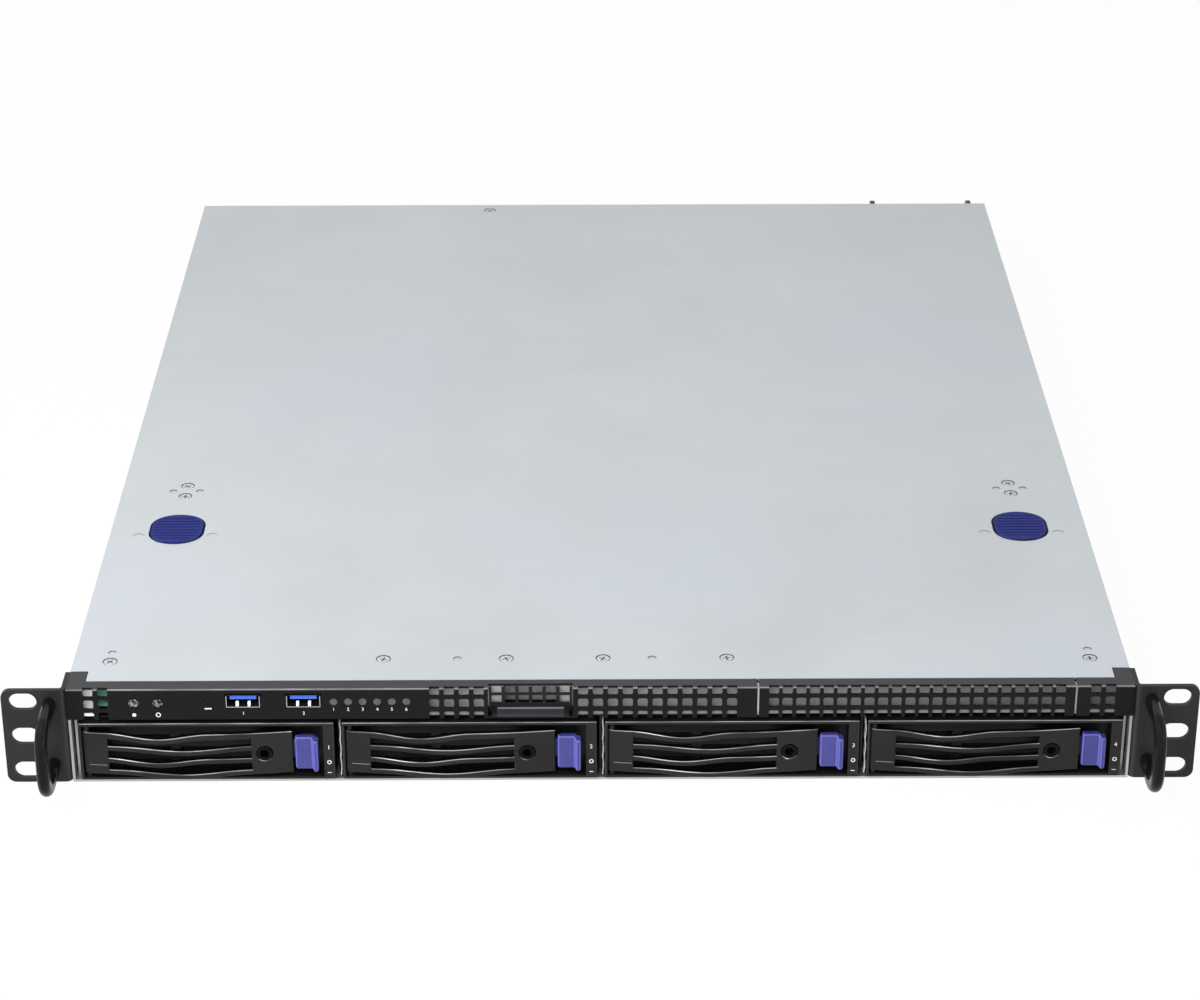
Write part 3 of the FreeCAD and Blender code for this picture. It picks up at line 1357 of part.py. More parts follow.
def make_psu(i):
    start = psu_start(i)
    middle = f"({start} + psu_width / 2)"
    front = f"({REAR} - psu_depth)"
    shell = block(middle, front, "psu_bottom", "psu_width", "psu_depth", "psu_height")
    inlet_x = f"({start} + inlet_offset)"
    recess = block(inlet_x, f"{REAR} - inlet_depth", "inlet_low",
                   "inlet_width", "inlet_depth + 1", "inlet_height")
    recess = rounded(recess, "3", lambda edge: edge.Vertexes[0].Z < value("inlet_low") + 0.1
                     and edge.Vertexes[1].Z < value("inlet_low") + 0.1
                     and abs(edge.Vertexes[0].Y - edge.Vertexes[1].Y) > 1)
    slot = box((f"{start} + 36.5", f"{start} + 44.5"), (f"{REAR} - 5", f"{REAR} + 1"), ("20", "33"))
    vents = [block(f"{start} + 7.5 + {column} * 5.2", f"{REAR} - 4", f"4.6 + {line} * 5", "3.6", "5", "3.6")
             for column in range(8) for line in range(2)]
    pins = [block(f"{inlet_x} + {across}", f"{REAR} - inlet_depth", f"inlet_low + {rise}",
                  "2", "inlet_depth - 5", "4") for across, rise in ((-7, 4), (0, 8.4), (7, 4))]
    edge_card = block(middle, f"{front} - 7", "psu_bottom + 3", "30", "7", "board_gauge")
    keep(f"psu_module_{i + 1}", group(cut(shell, recess, slot, *vents), edge_card, *pins))
    bar = f"({start} + grip_offset)"
    loop = block(bar, REAR, "grip_low", "grip_width", "grip_reach", "grip_high - grip_low")
    gap = block(bar, f"{REAR} - 1", "grip_low + grip_bar", "grip_width + 2", "grip_reach + 1 - grip_bar",
                "grip_high - grip_low - 2 * grip_bar")
    end = f"{REAR} + grip_reach"
    loop = rounded(loop, "5", lambda edge: all(vertex.Y > value(end) - 0.1 for vertex in edge.Vertexes)
                   and abs(edge.Vertexes[0].X - edge.Vertexes[1].X) > 1)
    inner_end = f"{end} - grip_bar"
    gap = rounded(gap, "2.5", lambda edge: all(vertex.Y > value(inner_end) - 0.1 for vertex in edge.Vertexes)
                  and abs(edge.Vertexes[0].X - edge.Vertexes[1].X) > 1)
    keep(f"psu_handle_{i + 1}", cut(loop, gap))
    stem = box((f"{start} + 36.8", f"{start} + 41.8"), (f"{REAR} - 4.7", f"{REAR} + 0.6"), ("20.3", "32.7"))
    tab = box((f"{start} + 36.8", f"{start} + 39.2"), (f"{REAR} + 0.6", f"{REAR} + 13"), ("21", "32"))
    tab = rounded(tab, "3", lambda edge: all(vertex.Y > value(f"{REAR} + 12.9") for vertex in edge.Vertexes)
                  and abs(edge.Vertexes[0].X - edge.Vertexes[1].X) > 1)
    keep(f"psu_latch_{i + 1}", fuse(stem, tab))


make_chassis()
make_cover()
make_cover_fittings()
for ear_side, ear_name in (("-1", "left"), ("1", "right")):
    make_ear(f"rack_ear_{ear_name}", ear_side)
    make_handle(f"handle_{ear_name}", ear_side)
make_ear_screws()
make_panel()
make_filler()
make_tag()
make_front_board()
make_buttons()
make_cage()
for bay in BAYS:
    make_tray(bay)
    make_drive(bay)
    make_lever(bay)
    make_lock(bay)
    make_latch(bay)
make_backplane()
make_fans()
for fan in FANS:
    make_rotor(fan)
make_main_board()
make_heatsink()
make_memory()
make_rear_ports()
make_shield()
make_expansion()
make_psu_cage()
for supply in SUPPLIES:
    make_psu(supply)
doc.recompute()

failed = [item.Label for item in doc.Objects if {"Invalid", "Error"} & set(item.State)]
if failed:
    raise SystemExit(f"objects that did not recompute: {failed}")
broken = [label for label, item in NODES.items() if item.Shape.isNull() or not item.Shape.isValid()]
if broken:
    raise SystemExit(f"shapes that are not valid: {broken}")

os.makedirs("parts", exist_ok=True)
for label, item in NODES.items():
    item.Shape.exportStep(f"parts/{label}.step")
print(len(NODES), "parts written")
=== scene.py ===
import bpy
import bmesh
import math
import numpy as np
from mathutils import Matrix, Vector


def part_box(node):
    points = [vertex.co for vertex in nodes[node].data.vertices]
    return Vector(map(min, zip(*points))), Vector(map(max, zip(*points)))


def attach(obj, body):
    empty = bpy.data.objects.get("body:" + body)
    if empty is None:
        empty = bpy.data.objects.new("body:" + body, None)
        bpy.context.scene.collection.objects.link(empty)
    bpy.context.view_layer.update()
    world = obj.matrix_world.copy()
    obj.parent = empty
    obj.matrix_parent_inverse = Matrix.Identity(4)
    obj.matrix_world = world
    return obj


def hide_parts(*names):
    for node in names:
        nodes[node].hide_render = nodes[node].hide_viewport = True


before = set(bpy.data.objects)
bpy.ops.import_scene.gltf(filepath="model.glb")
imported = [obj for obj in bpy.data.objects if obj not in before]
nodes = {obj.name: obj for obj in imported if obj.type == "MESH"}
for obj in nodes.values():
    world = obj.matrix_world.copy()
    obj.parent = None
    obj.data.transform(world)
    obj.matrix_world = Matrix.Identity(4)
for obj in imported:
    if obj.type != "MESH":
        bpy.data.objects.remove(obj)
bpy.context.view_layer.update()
mm = 0.001
rightward, backward, upward = np.eye(3)
print("frame loaded:", len(nodes), "nodes")


def intoScene(thing):
    bpy.context.scene.collection.objects.link(thing)


# a long lens in front, a little above the lid
view = {"lens": 96.12, "sensor": 36.0, "place": (-6.17, -1121.44, 682.9), "clipStart": 0.01,
        "pitch": 26.377, "yaw": 0.3056, "roll": -0.073}


def addCamera():
    lens = bpy.data.cameras.new("photoCamera")
    lens.lens = view["lens"]
    lens.sensor_width = view["sensor"]
    lens.sensor_fit = "HORIZONTAL"
    lens.clip_start = view["clipStart"]
    camera = bpy.data.objects.new("photoCamera", lens)
    pitch, yaw, roll = (math.radians(view[k]) for k in ("pitch", "yaw", "roll"))
    ahead = Vector((math.sin(yaw) * math.cos(pitch), math.cos(yaw) * math.cos(pitch), -math.sin(pitch)))
    side = Vector((math.cos(yaw), -math.sin(yaw), 0.0))
    top = side.cross(ahead)
    across = side * math.cos(roll) + top * math.sin(roll)
    above = top * math.cos(roll) - side * math.sin(roll)
    turn = np.array([across, above, -ahead]).T
    rows = [[*turn[r], view["place"][r] * mm] for r in range(3)]
    camera.matrix_world = Matrix(rows + [[0, 0, 0, 1]])
    intoScene(camera)
    bpy.context.scene.camera = camera


lamps = {"strip": {"place": (-0.5, -0.45, 0.7), "wide": 1.2, "deep": 0.5, "power": 13.6, "mirrored": False},
         "low": {"place": (-0.5, -1.7, 0.5), "wide": 2.2, "deep": 0.8, "power": 12.0, "mirrored": False},
         "top": {"place": (-0.5, -0.2, 1.7), "wide": 1.0, "deep": 1.0, "power": 3.0, "mirrored": True},
         "right": {"place": (1.5, -0.7, 0.7), "wide": 0.8, "deep": 0.8, "power": 3.0, "mirrored": True}}
lampAim = Vector((0, 0.15, 0))


def addLamps():
    for name, lamp in lamps.items():
        light = bpy.data.lights.new(name + "Lamp", "AREA")
        light.shape = "RECTANGLE"
        light.size = lamp["wide"]
        light.size_y = lamp["deep"]
        light.energy = lamp["power"]
        holder = bpy.data.objects.new(name + "Lamp", light)
        holder.visible_glossy = lamp["mirrored"]
        holder.location = lamp["place"]
        holder.rotation_euler = (lampAim - Vector(lamp["place"])).to_track_quat("-Z", "Y").to_euler()
        intoScene(holder)


studio = {"sky": 0.42, "floorTone": 0.9, "floorWhite": 0.96, "floorReach": 6.0, "floorLevel": -0.0004}


# one for camera, mirror and glass rays, nought for every other ray
def seenDirectly(tree):
    path = tree.nodes.new("ShaderNodeLightPath")
    seen = path.outputs["Is Camera Ray"]
    for ray in ("Is Glossy Ray", "Is Transmission Ray"):
        either = tree.nodes.new("ShaderNodeMath")
        either.operation = "MAXIMUM"
        tree.links.new(seen, either.inputs[0])
        tree.links.new(path.outputs[ray], either.inputs[1])
        seen = either.outputs[0]
    return seen


# rays that see the studio directly see white, every other ray sees the soft sky
def addSky():
    scene = bpy.context.scene
    scene.view_settings.view_transform = "Standard"
    world = bpy.data.worlds.new("studioSky")
    world.use_nodes = True
    scene.world = world
    tree = world.node_tree
    sky = tree.nodes["Background"]
    sky.inputs["Strength"].default_value = studio["sky"]
    sky.inputs["Color"].default_value = (1, 1, 1, 1)
    white = tree.nodes.new("ShaderNodeBackground")
    white.inputs["Color"].default_value = (1, 1, 1, 1)
    mix = tree.nodes.new("ShaderNodeMixShader")
    tree.links.new(seenDirectly(tree), mix.inputs[0])
    tree.links.new(sky.outputs[0], mix.inputs[1])
    tree.links.new(white.outputs[0], mix.inputs[2])
    tree.links.new(mix.outputs[0], tree.nodes["World Output"].inputs["Surface"])


def addFloor():
    reach, level = studio["floorReach"], studio["floorLevel"]
    sheet = bpy.data.meshes.new("floor")
    corners = [(-reach, -reach, level), (reach, -reach, level), (reach, reach, level), (-reach, reach, level)]
    sheet.from_pydata(corners, [], [(0, 1, 2, 3)])
    floor = bpy.data.objects.new("floor", sheet)
    intoScene(floor)
    paper = bpy.data.materials.new("floorPaper")
    paper.use_nodes = True
    tree = paper.node_tree
    tree.nodes.remove(tree.nodes["Principled BSDF"])
    matt = tree.nodes.new("ShaderNodeBsdfDiffuse")
    matt.inputs["Color"].default_value = (studio["floorTone"],) * 3 + (1,)
    glow = tree.nodes.new("ShaderNodeEmission")
    mix = tree.nodes.new("ShaderNodeMixShader")
    share = tree.nodes.new("ShaderNodeMath")
    share.operation = "MULTIPLY"
    share.inputs[1].default_value = studio["floorWhite"]
    tree.links.new(seenDirectly(tree), share.inputs[0])
    tree.links.new(share.outputs[0], mix.inputs[0])
    tree.links.new(matt.outputs[0], mix.inputs[1])
    tree.links.new(glow.outputs[0], mix.inputs[2])
    tree.links.new(mix.outputs[0], tree.nodes["Material Output"].inputs["Surface"])
    sheet.materials.append(paper)


addCamera()
addLamps()
addSky()
addFloor()
print("camera, lamps and floor are up")


# finishes: every pattern reads Object coordinates, in metres
class Finish:
    def __init__(self, name, **sockets):
        self.material = bpy.data.materials.new(name)
        self.material.use_nodes = True
        self.tree = self.material.node_tree
        self.shader = self.tree.nodes["Principled BSDF"]
        self.place = self.tree.nodes.new("ShaderNodeTexCoord").outputs["Object"]
        for socket, number in sockets.items():
            self.shader.inputs[socket.replace("_", " ")].default_value = number

    def link(self, start, end):
        self.tree.links.new(start, end)

    def add(self, kind, **fields):
        node = self.tree.nodes.new("ShaderNode" + kind)
        for field, number in fields.items():
            setattr(node, field, number)
        return node

    def sums(self, operation, *terms):
        node = self.add("Math", operation=operation)
        for socket, term in zip(node.inputs, terms):
            if isinstance(term, (int, float)):
                socket.default_value = term
            else:
                self.link(term, socket)
        return node.outputs[0]

    # one where every mask is one
    def every(self, *masks):
        product = masks[0]
        for mask in masks[1:]:
            product = self.sums("MULTIPLY", product, mask)
        return product

    # patterns added up by their weights
    def weighed(self, *pairs):
        total = 0.0
        for source, weight in pairs:
            total = self.sums("MULTIPLY_ADD", source, weight, total)
        return total

    def stretched(self, scale):
        node = self.add("Mapping")
        node.inputs["Scale"].default_value = scale
        self.link(self.place, node.inputs["Vector"])
        return node.outputs[0]

    def noise(self, scale, detail=3.0, rough=0.55, stretch=None):
        node = self.add("TexNoise")
        self.link(self.stretched(stretch) if stretch else self.place, node.inputs["Vector"])
        node.inputs["Scale"].default_value = scale
        node.inputs["Detail"].default_value = detail
        node.inputs["Roughness"].default_value = rough
        return node.outputs["Fac"]

    def axis(self, which):
        node = self.add("SeparateXYZ")
        self.link(self.place, node.inputs[0])
        return node.outputs[which]

    # masks along one axis: within half of a middle, above a limit, below a limit
    def near(self, which, middle, half):
        return self.sums("COMPARE", self.axis(which), middle, half)

    def above(self, which, limit):
        return self.sums("GREATER_THAN", self.axis(which), limit)

    def below(self, which, limit):
        return self.sums("LESS_THAN", self.axis(which), limit)

    def span(self, source, low, high, first, last):
        node = self.add("MapRange")
        self.link(source, node.inputs["Value"])
        for socket, number in zip(("From Min", "From Max", "To Min", "To Max"), (low, high, first, last)):
            node.inputs[socket].default_value = number
        return node.outputs[0]

    def tint(self, source, *stops):
        node = self.add("ValToRGB")
        ramp = node.color_ramp
        while len(ramp.elements) < len(stops):
            ramp.elements.new(0.5)
        for element, (spot, colour) in zip(ramp.elements, stops):
            element.position = spot
            element.color = (*colour, 1)
        self.link(source, node.inputs[0])
        return node.outputs[0]

    def blend(self, share, first, second):
        node = self.add("Mix", data_type="RGBA")
        self.link(share, node.inputs["Factor"])
        for socket, colour in ((node.inputs[6], first), (node.inputs[7], second)):
            if isinstance(colour, tuple):
                socket.default_value = (*colour, 1)
            else:
                self.link(colour, socket)
        return node.outputs[2]

    # the way the surface faces, as its three parts in the piece's own directions
    def facing(self):
        turn = self.add("VectorTransform", vector_type="NORMAL", convert_from="WORLD", convert_to="OBJECT")
        self.link(self.add("NewGeometry").outputs["Normal"], turn.inputs[0])
        split = self.add("SeparateXYZ")
        self.link(turn.outputs[0], split.inputs[0])
        return split.outputs

    # one where the surface turns from one face to the next, nought on the flat faces
    def turning(self):
        parts = [self.sums("ABSOLUTE", part) for part in self.facing()]
        largest = self.sums("MAXIMUM", self.sums("MAXIMUM", parts[0], parts[1]), parts[2])
        return self.span(largest, 0.975, 0.86, 0.0, 1.0)

    # one where an edge faces up and forward, nought elsewhere
    def upperEdge(self):
        parts = self.facing()
        up, ahead = self.span(parts[2], 0.45, 0.8, 0.0, 1.0), self.span(parts[1], -0.1, -0.45, 0.0, 1.0)
        return self.every(up, ahead)

    def colour(self, source):
        self.link(source, self.shader.inputs["Base Color"])

    def roughness(self, source):
        self.link(source, self.shader.inputs["Roughness"])

    def metal(self, source):
        self.link(source, self.shader.inputs["Metallic"])

    def relief(self, source, depth, strength=1.0):
        node = self.add("Bump")
        node.inputs["Strength"].default_value = strength
        node.inputs["Distance"].default_value = depth
        self.link(source, node.inputs["Height"])
        self.link(node.outputs[0], self.shader.inputs["Normal"])


# brushed lid, cloudy and a little blue in places, with painted shade on the steep walls of its seats and
# dimples
def lidZinc():
    f = Finish("lidZinc", Metallic=0.45, IOR=1.5)
    broad = f.noise(4.5, 2, 0.5, (1.0, 0.6, 1.0))
    streak = f.noise(900, 2, 0.6, (0.06, 1.0, 1.0))
    spangle = f.noise(420, 3, 0.65, (0.35, 1.0, 1.0))
    cloudy = f.noise(17, 4, 0.6)
    zinc = f.tint(f.weighed((broad, 0.4), (cloudy, 0.4), (spangle, 0.2)),
                  (0.32, (0.475, 0.505, 0.515)), (0.68, (0.565, 0.60, 0.61)))
    zinc = f.blend(f.span(f.noise(9, 3, 0.5), 0.42, 0.7, 0.0, 0.7), zinc, (0.515, 0.55, 0.61))
    steep = f.sums("LESS_THAN", f.sums("ABSOLUTE", f.facing()[2]), 0.6)
    # painted shade: the steep walls of the screw seats and dimples darkened
    paintedRecessShade = f.every(steep, f.near(0, 0.0, 0.2125), f.near(1, 0.271, 0.259), f.above(2, 0.0426))
    f.colour(f.blend(paintedRecessShade, zinc, (0.15, 0.155, 0.16)))
    f.roughness(f.span(spangle, 0.25, 0.75, 0.36, 0.5))
    f.relief(streak, 0.000006, 0.4)
    return f.material


def sheetZinc(name, pale, dark, rough=(0.34, 0.5), metal=0.8):
    f = Finish(name, Metallic=metal)
    patch = f.noise(35, 4, 0.6)
    grain = f.noise(800, 2, 0.6, (1.0, 0.15, 1.0))
    f.colour(f.tint(f.weighed((patch, 0.6), (grain, 0.4)), (0.3, dark), (0.72, pale)))
    f.roughness(f.span(grain, 0.3, 0.7, *rough))
    f.relief(grain, 0.00001, 0.4)
    return f.material


# plated cage whose dividers' front ends are painted dark and dull, as shade between the bezels
def cageFinish():
    f = Finish("cageZinc")
    patch = f.noise(35, 4, 0.6)
    zinc = f.tint(patch, (0.3, (0.44, 0.45, 0.46)), (0.7, (0.62, 0.63, 0.64)))
    # painted shade: the dividers' front ends darkened and made less metallic
    front = f.every(f.below(1, 0.03), f.near(0, 0.0, 0.2))
    f.colour(f.blend(front, zinc, (0.012, 0.012, 0.012)))
    f.metal(f.sums("MULTIPLY", f.sums("SUBTRACT", 1.0, front), 0.5))
    f.roughness(f.span(patch, 0.3, 0.7, 0.38, 0.52))
    return f.material


# dull sheet behind the vents, with shade painted darker along its foot and towards the right
def backingFinish():
    f = Finish("backingZinc", Metallic=0.1)
    shade = (0.16, 0.16, 0.158)
    patch = f.noise(35, 4, 0.6)
    zinc = f.tint(patch, (0.3, (0.28, 0.28, 0.275)), (0.7, (0.40, 0.40, 0.395)))
    # painted shade along the foot and towards the right
    zinc = f.blend(f.span(f.axis(2), 0.0326, 0.0318, 0.0, 1.0), zinc, shade)
    f.colour(f.blend(f.span(f.axis(0), 0.05, 0.17, 0.0, 0.75), zinc, shade))
    f.roughness(f.span(patch, 0.3, 0.7, 0.45, 0.6))
    return f.material


# lid screws: dull zinc, with painted shade darkening the cross and the rim
def screwFinish():
    f = Finish("lidScrewZinc", Metallic=0.35)
    patch = f.noise(500, 3, 0.6)
    zinc = f.tint(patch, (0.3, (0.44, 0.46, 0.475)), (0.7, (0.56, 0.58, 0.595)))
    # painted shade in the recessed cross and round the dropped rim
    f.colour(f.blend(f.span(f.axis(2), 0.04325, 0.04314, 0.0, 1.0), zinc, (0.11, 0.11, 0.115)))
    f.roughness(f.span(patch, 0.3, 0.7, 0.48, 0.6))
    return f.material


# each lever's middle lies this far left of its bay's; the bays' pitch; the radius of the lever's bow
leverBow = {"offset": 0.0078, "pitch": 0.1064, "radius": 0.334}


# how much a wavy edge falls to the right, without the part that comes from the lever's bow
def edgeFall(f):
    place = f.sums("WRAP", f.sums("ADD", f.axis(0), leverBow["offset"]), leverBow["pitch"], 0.0)
    bow = f.sums("DIVIDE", f.sums("SUBTRACT", place, leverBow["pitch"] / 2), leverBow["radius"])
    across, forward = f.facing()[:2]
    return f.sums("ADD", across, f.sums("MULTIPLY", bow, forward))


# black coat or moulding, a little paler where an edge turns, partly wear and partly painted sheen, with a
# painted highlight where it faces up and forward;
# with a painted shade for its flat tops it is a wavy lever, its painted highlight brightest where its edge
# falls to the right
def blackCoat(name, pale, dark, rough, grainScale, depth, edge, gloss, paintedHighlightTone, flat=None):
    f = Finish(name, Specular_IOR_Level=gloss)
    grain = f.noise(grainScale, 3, 0.6)
    cloud = f.noise(45, 3, 0.5)
    face = f.tint(f.weighed((cloud, 0.6), (grain, 0.4)), (0.3, dark), (0.7, pale))
    # paler turning edges: wear, and a painted sheen
    wearAndSheen = f.every(f.turning(), f.span(cloud, 0.3, 0.7, 0.7, 1.0))
    # painted highlight on edges that face up and forward
    paintedHighlight = f.every(f.upperEdge(), f.span(cloud, 0.38, 0.6, 0.2, 1.0))
    if flat:
        paintedHighlight = f.every(paintedHighlight, f.span(edgeFall(f), 0.02, 0.085, 0.42, 1.0))
    coat = f.blend(wearAndSheen, face, (edge, edge, edge * 1.04))
    coat = f.blend(paintedHighlight, coat, (paintedHighlightTone, paintedHighlightTone, paintedHighlightTone * 1.03))
    if flat:
        # painted shade: the flat tops darkened
        coat = f.blend(f.span(f.facing()[2], 0.93, 0.985, 0.0, 1.0), coat, (flat, flat, flat))
    f.colour(coat)
    f.roughness(f.sums("SUBTRACT", f.span(grain, 0.3, 0.7, *rough), f.sums("MULTIPLY", wearAndSheen, 0.08)))
    f.relief(grain, depth, 0.6)
    return f.material


tagPlace = -0.0283


# powder coat outside, with painted sheen on the top fold and a painted highlight on its bend, thin on the
# side that faces into the case
def panelFinish():
    f = Finish("panelPowderCoat", Specular_IOR_Level=0.15)
    grain = f.noise(3200, 3, 0.6)
    cloud = f.noise(45, 3, 0.5)
    besideTag = f.sums("SUBTRACT", 1.0, f.near(0, tagPlace, 0.019))
    inside = f.every(f.above(1, -0.00095), f.near(2, 0.03675, 0.00555), besideTag)
    black = f.tint(grain, (0.3, (0.0025, 0.0025, 0.0025)), (0.75, (0.006, 0.006, 0.006)))
    # painted sheen: the top fold paler
    paintedFoldSheen = f.tint(grain, (0.3, (0.022, 0.022, 0.024)), (0.75, (0.050, 0.050, 0.053)))
    black = f.blend(f.above(2, 0.04335), black, paintedFoldSheen)
    # painted highlight on the bend and upper edges; turning edges paler by wear and painted sheen
    paintedHighlight = f.every(f.upperEdge(), f.span(cloud, 0.3, 0.65, 0.3, 1.0))
    black = f.blend(paintedHighlight, f.blend(f.turning(), black, (0.03, 0.03, 0.032)), (0.24, 0.24, 0.25))
    thin = f.tint(cloud, (0.3, (0.40, 0.40, 0.41)), (0.7, (0.52, 0.52, 0.53)))
    f.colour(f.blend(inside, black, thin))
    f.roughness(f.span(grain, 0.3, 0.7, 0.36, 0.48))
    f.relief(grain, 0.00002, 0.6)
    return f.material


# recessed slide: black, with a painted highlight as a thin grey line along the top of its lip
def tagFinish():
    f = Finish("tagBlack", Specular_IOR_Level=0.25)
    grain = f.noise(2600, 3, 0.6)
    face = f.tint(grain, (0.3, (0.004, 0.004, 0.0045)), (0.75, (0.009, 0.009, 0.010)))
    width = f.near(0, tagPlace, 0.0134)
    # painted highlight along the top of the lip
    rim = f.every(f.near(1, 0.0004, 0.00055), f.below(2, 0.0334), width)
    lip = f.every(f.below(1, -0.0001), width)
    f.colour(f.blend(rim, f.blend(lip, face, (0.022, 0.021, 0.025)), (0.13, 0.13, 0.134)))
    f.roughness(f.span(grain, 0.3, 0.7, 0.34, 0.46))
    f.relief(grain, 0.000015, 0.5)
    return f.material


# moulded black in front with paler turning edges, partly wear and partly painted sheen, and a painted
# highlight on its upper edges; plated sheet behind the bezel
def trayFinish():
    f = Finish("trayBlackAndZinc", Specular_IOR_Level=0.25)
    grain = f.noise(2600, 3, 0.6)
    cloud = f.noise(60, 3, 0.5)
    behind = f.above(1, 0.0102)
    black = f.tint(grain, (0.3, (0.007, 0.007, 0.0068)), (0.75, (0.0135, 0.0135, 0.013)))
    wearAndSheen = f.every(f.turning(), f.span(cloud, 0.3, 0.7, 0.7, 1.0))
    # painted highlight on edges that face up and forward
    paintedHighlight = f.every(f.upperEdge(), f.span(cloud, 0.35, 0.6, 0.4, 1.0))
    black = f.blend(paintedHighlight, f.blend(wearAndSheen, black, (0.04, 0.04, 0.042)), (0.30, 0.30, 0.31))
    zinc = f.tint(cloud, (0.3, (0.48, 0.5, 0.51)), (0.7, (0.64, 0.66, 0.67)))
    f.colour(f.blend(behind, black, zinc))
    f.metal(f.sums("MULTIPLY", behind, 0.85))
    f.roughness(f.span(grain, 0.3, 0.7, 0.3, 0.42))
    f.relief(grain, 0.000012, 0.5)
    return f.material


def moulded(name, pale, dark, rough=(0.32, 0.42), edge=None, gloss=0.3):
    f = Finish(name, Specular_IOR_Level=gloss)
    grain = f.noise(1800, 3, 0.6)
    cloud = f.noise(90, 3, 0.5)
    face = f.tint(cloud, (0.3, dark), (0.7, pale))
    # edges paler where the surface turns: wear, and a painted sheen
    f.colour(f.blend(f.turning(), face, edge) if edge else face)
    f.roughness(f.span(grain, 0.3, 0.7, *rough))
    f.relief(grain, 0.00001, 0.4)
    return f.material


def plated(name, pale, dark, rough, scale=300, low=0.3, high=0.7):
    f = Finish(name, Metallic=1.0)
    smear = f.noise(scale, 3, 0.6)
    f.colour(f.tint(smear, (low, dark), (high, pale)))
    f.roughness(f.span(smear, 0.3, 0.7, *rough))
    return f.material


usb = {"wide": 0.0137, "wall": 0.0003, "lip": 0.0001, "roof": 0.0007,
       "tongueLevel": 0.00395, "tongueHalf": 0.0009}


# steel outside with painted shade on its upper wall and painted shade inside each mouth, with a blue tongue
# in its upper half
def usbFinish():
    f = Finish("usbShellAndTongue")
    low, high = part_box("usb_ports")
    half = usb["wide"] / 2
    middles = (low[0] + half, high[0] - half)
    inX = f.sums("ADD", *[f.near(0, middle, half - usb["wall"]) for middle in middles])
    inZ = f.near(2, (low[2] + high[2]) / 2, (high[2] - low[2]) / 2 - usb["wall"])
    mouth = f.every(inX, inZ, f.above(1, low[1] + usb["lip"]))
    tongue = f.every(mouth, f.near(2, low[2] + usb["tongueLevel"], usb["tongueHalf"]))
    smear = f.noise(500, 3, 0.6)
    steel = f.tint(smear, (0.3, (0.42, 0.43, 0.42)), (0.7, (0.6, 0.61, 0.59)))
    # painted shade on the upper wall
    steel = f.blend(f.above(2, high[2] - usb["roof"]), steel, (0.03, 0.03, 0.03))
    # painted shade inside the mouths
    f.colour(f.blend(tongue, f.blend(mouth, steel, (0.008, 0.008, 0.009)), (0.03, 0.12, 0.62)))
    f.metal(f.sums("SUBTRACT", 1.0, mouth))
    f.roughness(f.span(smear, 0.3, 0.7, 0.2, 0.34))
    return f.material


trackSizes = {"Scale": 90, "Mortar Size": 0.016, "Brick Width": 1.3, "Row Height": 0.11}


# solder mask with fine tracks on the board itself, dark mouldings above its level
def boardFinish(name, level):
    f = Finish(name)
    flat = f.add("CombineXYZ")
    f.link(f.axis(0), flat.inputs[0])
    f.link(f.sums("ADD", f.axis(1), f.axis(2)), flat.inputs[1])
    tracks = f.add("TexBrick", offset=0.37, squash=1.7, squash_frequency=3)
    f.link(flat.outputs[0], tracks.inputs["Vector"])
    for socket, number in trackSizes.items():
        tracks.inputs[socket].default_value = number
    cloud = f.noise(70, 3, 0.5)
    line = f.every(tracks.outputs["Fac"], f.span(f.noise(38, 2, 0.5), 0.44, 0.52, 0.0, 1.0))
    mask = f.tint(cloud, (0.3, (0.05, 0.17, 0.11)), (0.7, (0.075, 0.22, 0.15)))
    mask = f.blend(line, mask, (0.11, 0.30, 0.21))
    parts = f.tint(f.noise(120, 1, 0.5), (0.4, (0.012, 0.012, 0.013)), (0.6, (0.05, 0.05, 0.052)))
    f.colour(f.blend(f.above(2, level), mask, parts))
    f.roughness(f.span(cloud, 0.3, 0.7, 0.3, 0.5))
    return f.material


# pale screen print on the black front
def printFinish():
    f = Finish("palePrint", Specular_IOR_Level=0.2)
    grain = f.noise(2400, 3, 0.6)
    f.colour(f.tint(grain, (0.3, (0.52, 0.52, 0.52)), (0.7, (0.72, 0.72, 0.71))))
    f.roughness(f.span(grain, 0.3, 0.7, 0.45, 0.6))
    return f.material


def lensFinish():
    f = Finish("lampLens", Transmission_Weight=0.15, IOR=1.49)
    cloud = f.noise(900, 2, 0.5)
    f.colour(f.tint(cloud, (0.3, (0.05, 0.052, 0.054)), (0.7, (0.09, 0.092, 0.094))))
    f.roughness(f.span(cloud, 0.3, 0.7, 0.15, 0.25))
    return f.material


